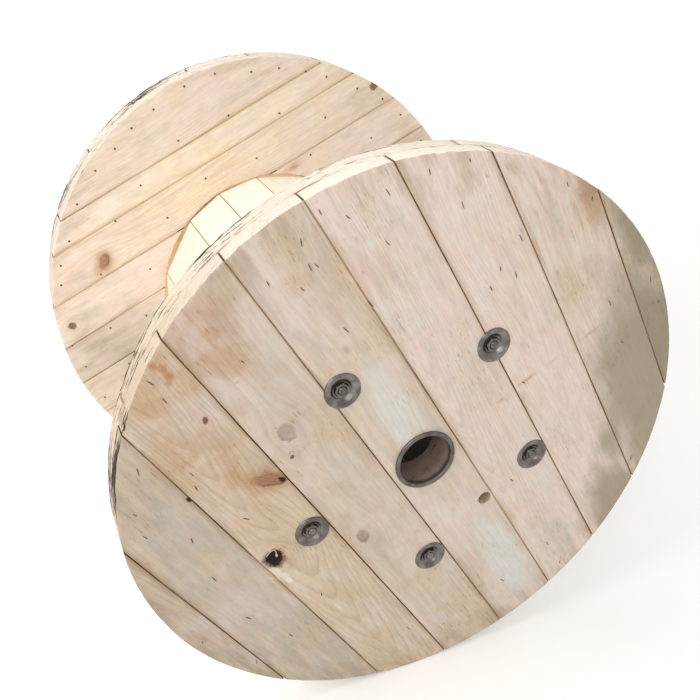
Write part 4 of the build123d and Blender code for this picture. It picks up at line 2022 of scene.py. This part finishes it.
def main() -> None:
    """Build the drum's pieces in order, and the studio."""
    logging.basicConfig(level=logging.INFO, format="%(message)s")
    boards = SawnWood("weathered_boards").material()
    inside_boards = SawnWood("sheltered_boards", early="EFE0CC", late="D4BB9D", pink="EBD6C9", honey="ECD7B3",
                             grey="D8CCC0", bleached="F3ECDD", blush="EACBB8", weathered="C8AA86",
                             crevice_shade="8A6A48", fleck_share=0.12, streak_share=0.26).material()
    # The staves' near-white colours are pale sheltered wood pushed towards white: painted light of the brightly
    # lit barrel.
    staves = SawnWood("staves_pale_and_painted_light", early="FBFAF6", late="F2ECE0", pink="FAF8F4", honey="FAF6EB",
                      grey="F6F3EE", bleached="FAFAF6", blush="FAF1E6", weathered="ECE2CF",
                      crevice_shade="C2AC8C", hole="E2D2B4", fleck_share=0.05, streak_share=0.34).material()
    dust = PackedDust("joint_dust").material()
    inside_dust = PackedDust("sheltered_dust", dark="7A5636", pale="DBBE94").material()
    torn = TornFibre("torn_fibre").material()
    rod_steel = WornSteel("rod_steel_worn", rust_share=0.16).material()
    washer_steel = WornSteel("washer_steel_dark", steel="5F5A58", worn="948D87", rust_share=0.1,
                             roughness=0.25, metal=0.8).material()
    # The bushes' pale dust colour inside the bores is also painted light.
    bush_steel = WornSteel("bush_steel_rusty", steel="554E4A", worn="7D746D", rust="7A4E3A",
                           rust_share=0.26, roughness=0.3, metal=0.5, dust="A08A7C",
                           dust_and_light_share=0.85).material()
    nail_points = WornSteel("nail_steel_points", steel="54463A", worn="83766A", rust="5A4230",
                            rust_share=0.35, roughness=0.42, metal=0.5).material()
    nail_steel = WornSteel("nail_steel_dark", steel="5A4F45", worn="7A6E62", rust="6B4E3A",
                           rust_share=0.45, roughness=0.5, metal=0.4).material()

    front = Layer("front_outer_board", -60.3, -1, boards, 4.5 * MM, FRONT_TONES, FRONT_KNOTS, FRONT_PATCHES,
                  Chips(3, chosen=(TORN_CHIP,)), FRONT_DIRT, tan=0.9)
    front_inside = Layer("front_inner_board", 29.7, 1, inside_boards, 7 * MM, knots=OUTSIDE_KNOTS,
                         chips=Chips(4), dirt=FRONT_INNER_DIRT, tan=0.9, rub=0.8)
    back_inside = Layer("back_inner_board", 24.1, -1, inside_boards, 6 * MM, knots=BACK_KNOTS,
                        patches=BACK_PATCHES, chips=Chips(6), dirt=BACK_INNER_DIRT, rub=0.8)
    back = Layer("back_outer_board", -65.9, 1, boards, 6 * MM, knots=OUTSIDE_KNOTS, chips=Chips(8),
                 dirt=BACK_DIRT)
    for layer in (front, front_inside, back_inside, back):
        layer.build()
    Barrel(staves, inside_dust).build()
    bolting = Bolting(rod_steel, washer_steel)
    bolting.build()
    Bushes(bush_steel).build()
    under_washers = [(x, z - AXIS_HEIGHT, WASHER_CLEAR) for x, z in bolting.centres()]
    under_steel = np.array(under_washers + [(0.0, 0.0, BUSH_CLEAR)])
    under_barrel = np.array([(0.0, 0.0, BARREL_CLEAR)])
    JointDust(dust).build(front, under_steel, FRONT_JOINTS)
    JointDust(inside_dust).build(front_inside, under_barrel)
    JointDust(inside_dust).build(back_inside, under_barrel)
    JointDust(dust).build(back, under_steel)
    Sliver(torn).build(front)
    heads, points = Nails(nail_steel), Nails(nail_points)
    points.build(front, NailEnd.CLENCHED, 0.35, FRONT_NAILS)
    heads.build(front_inside, NailEnd.HEAD)
    heads.build(back_inside, NailEnd.HEAD)
    points.build(back, NailEnd.CLENCHED, 0.7)
    Studio().build()


if __name__ == "__main__":
    main()
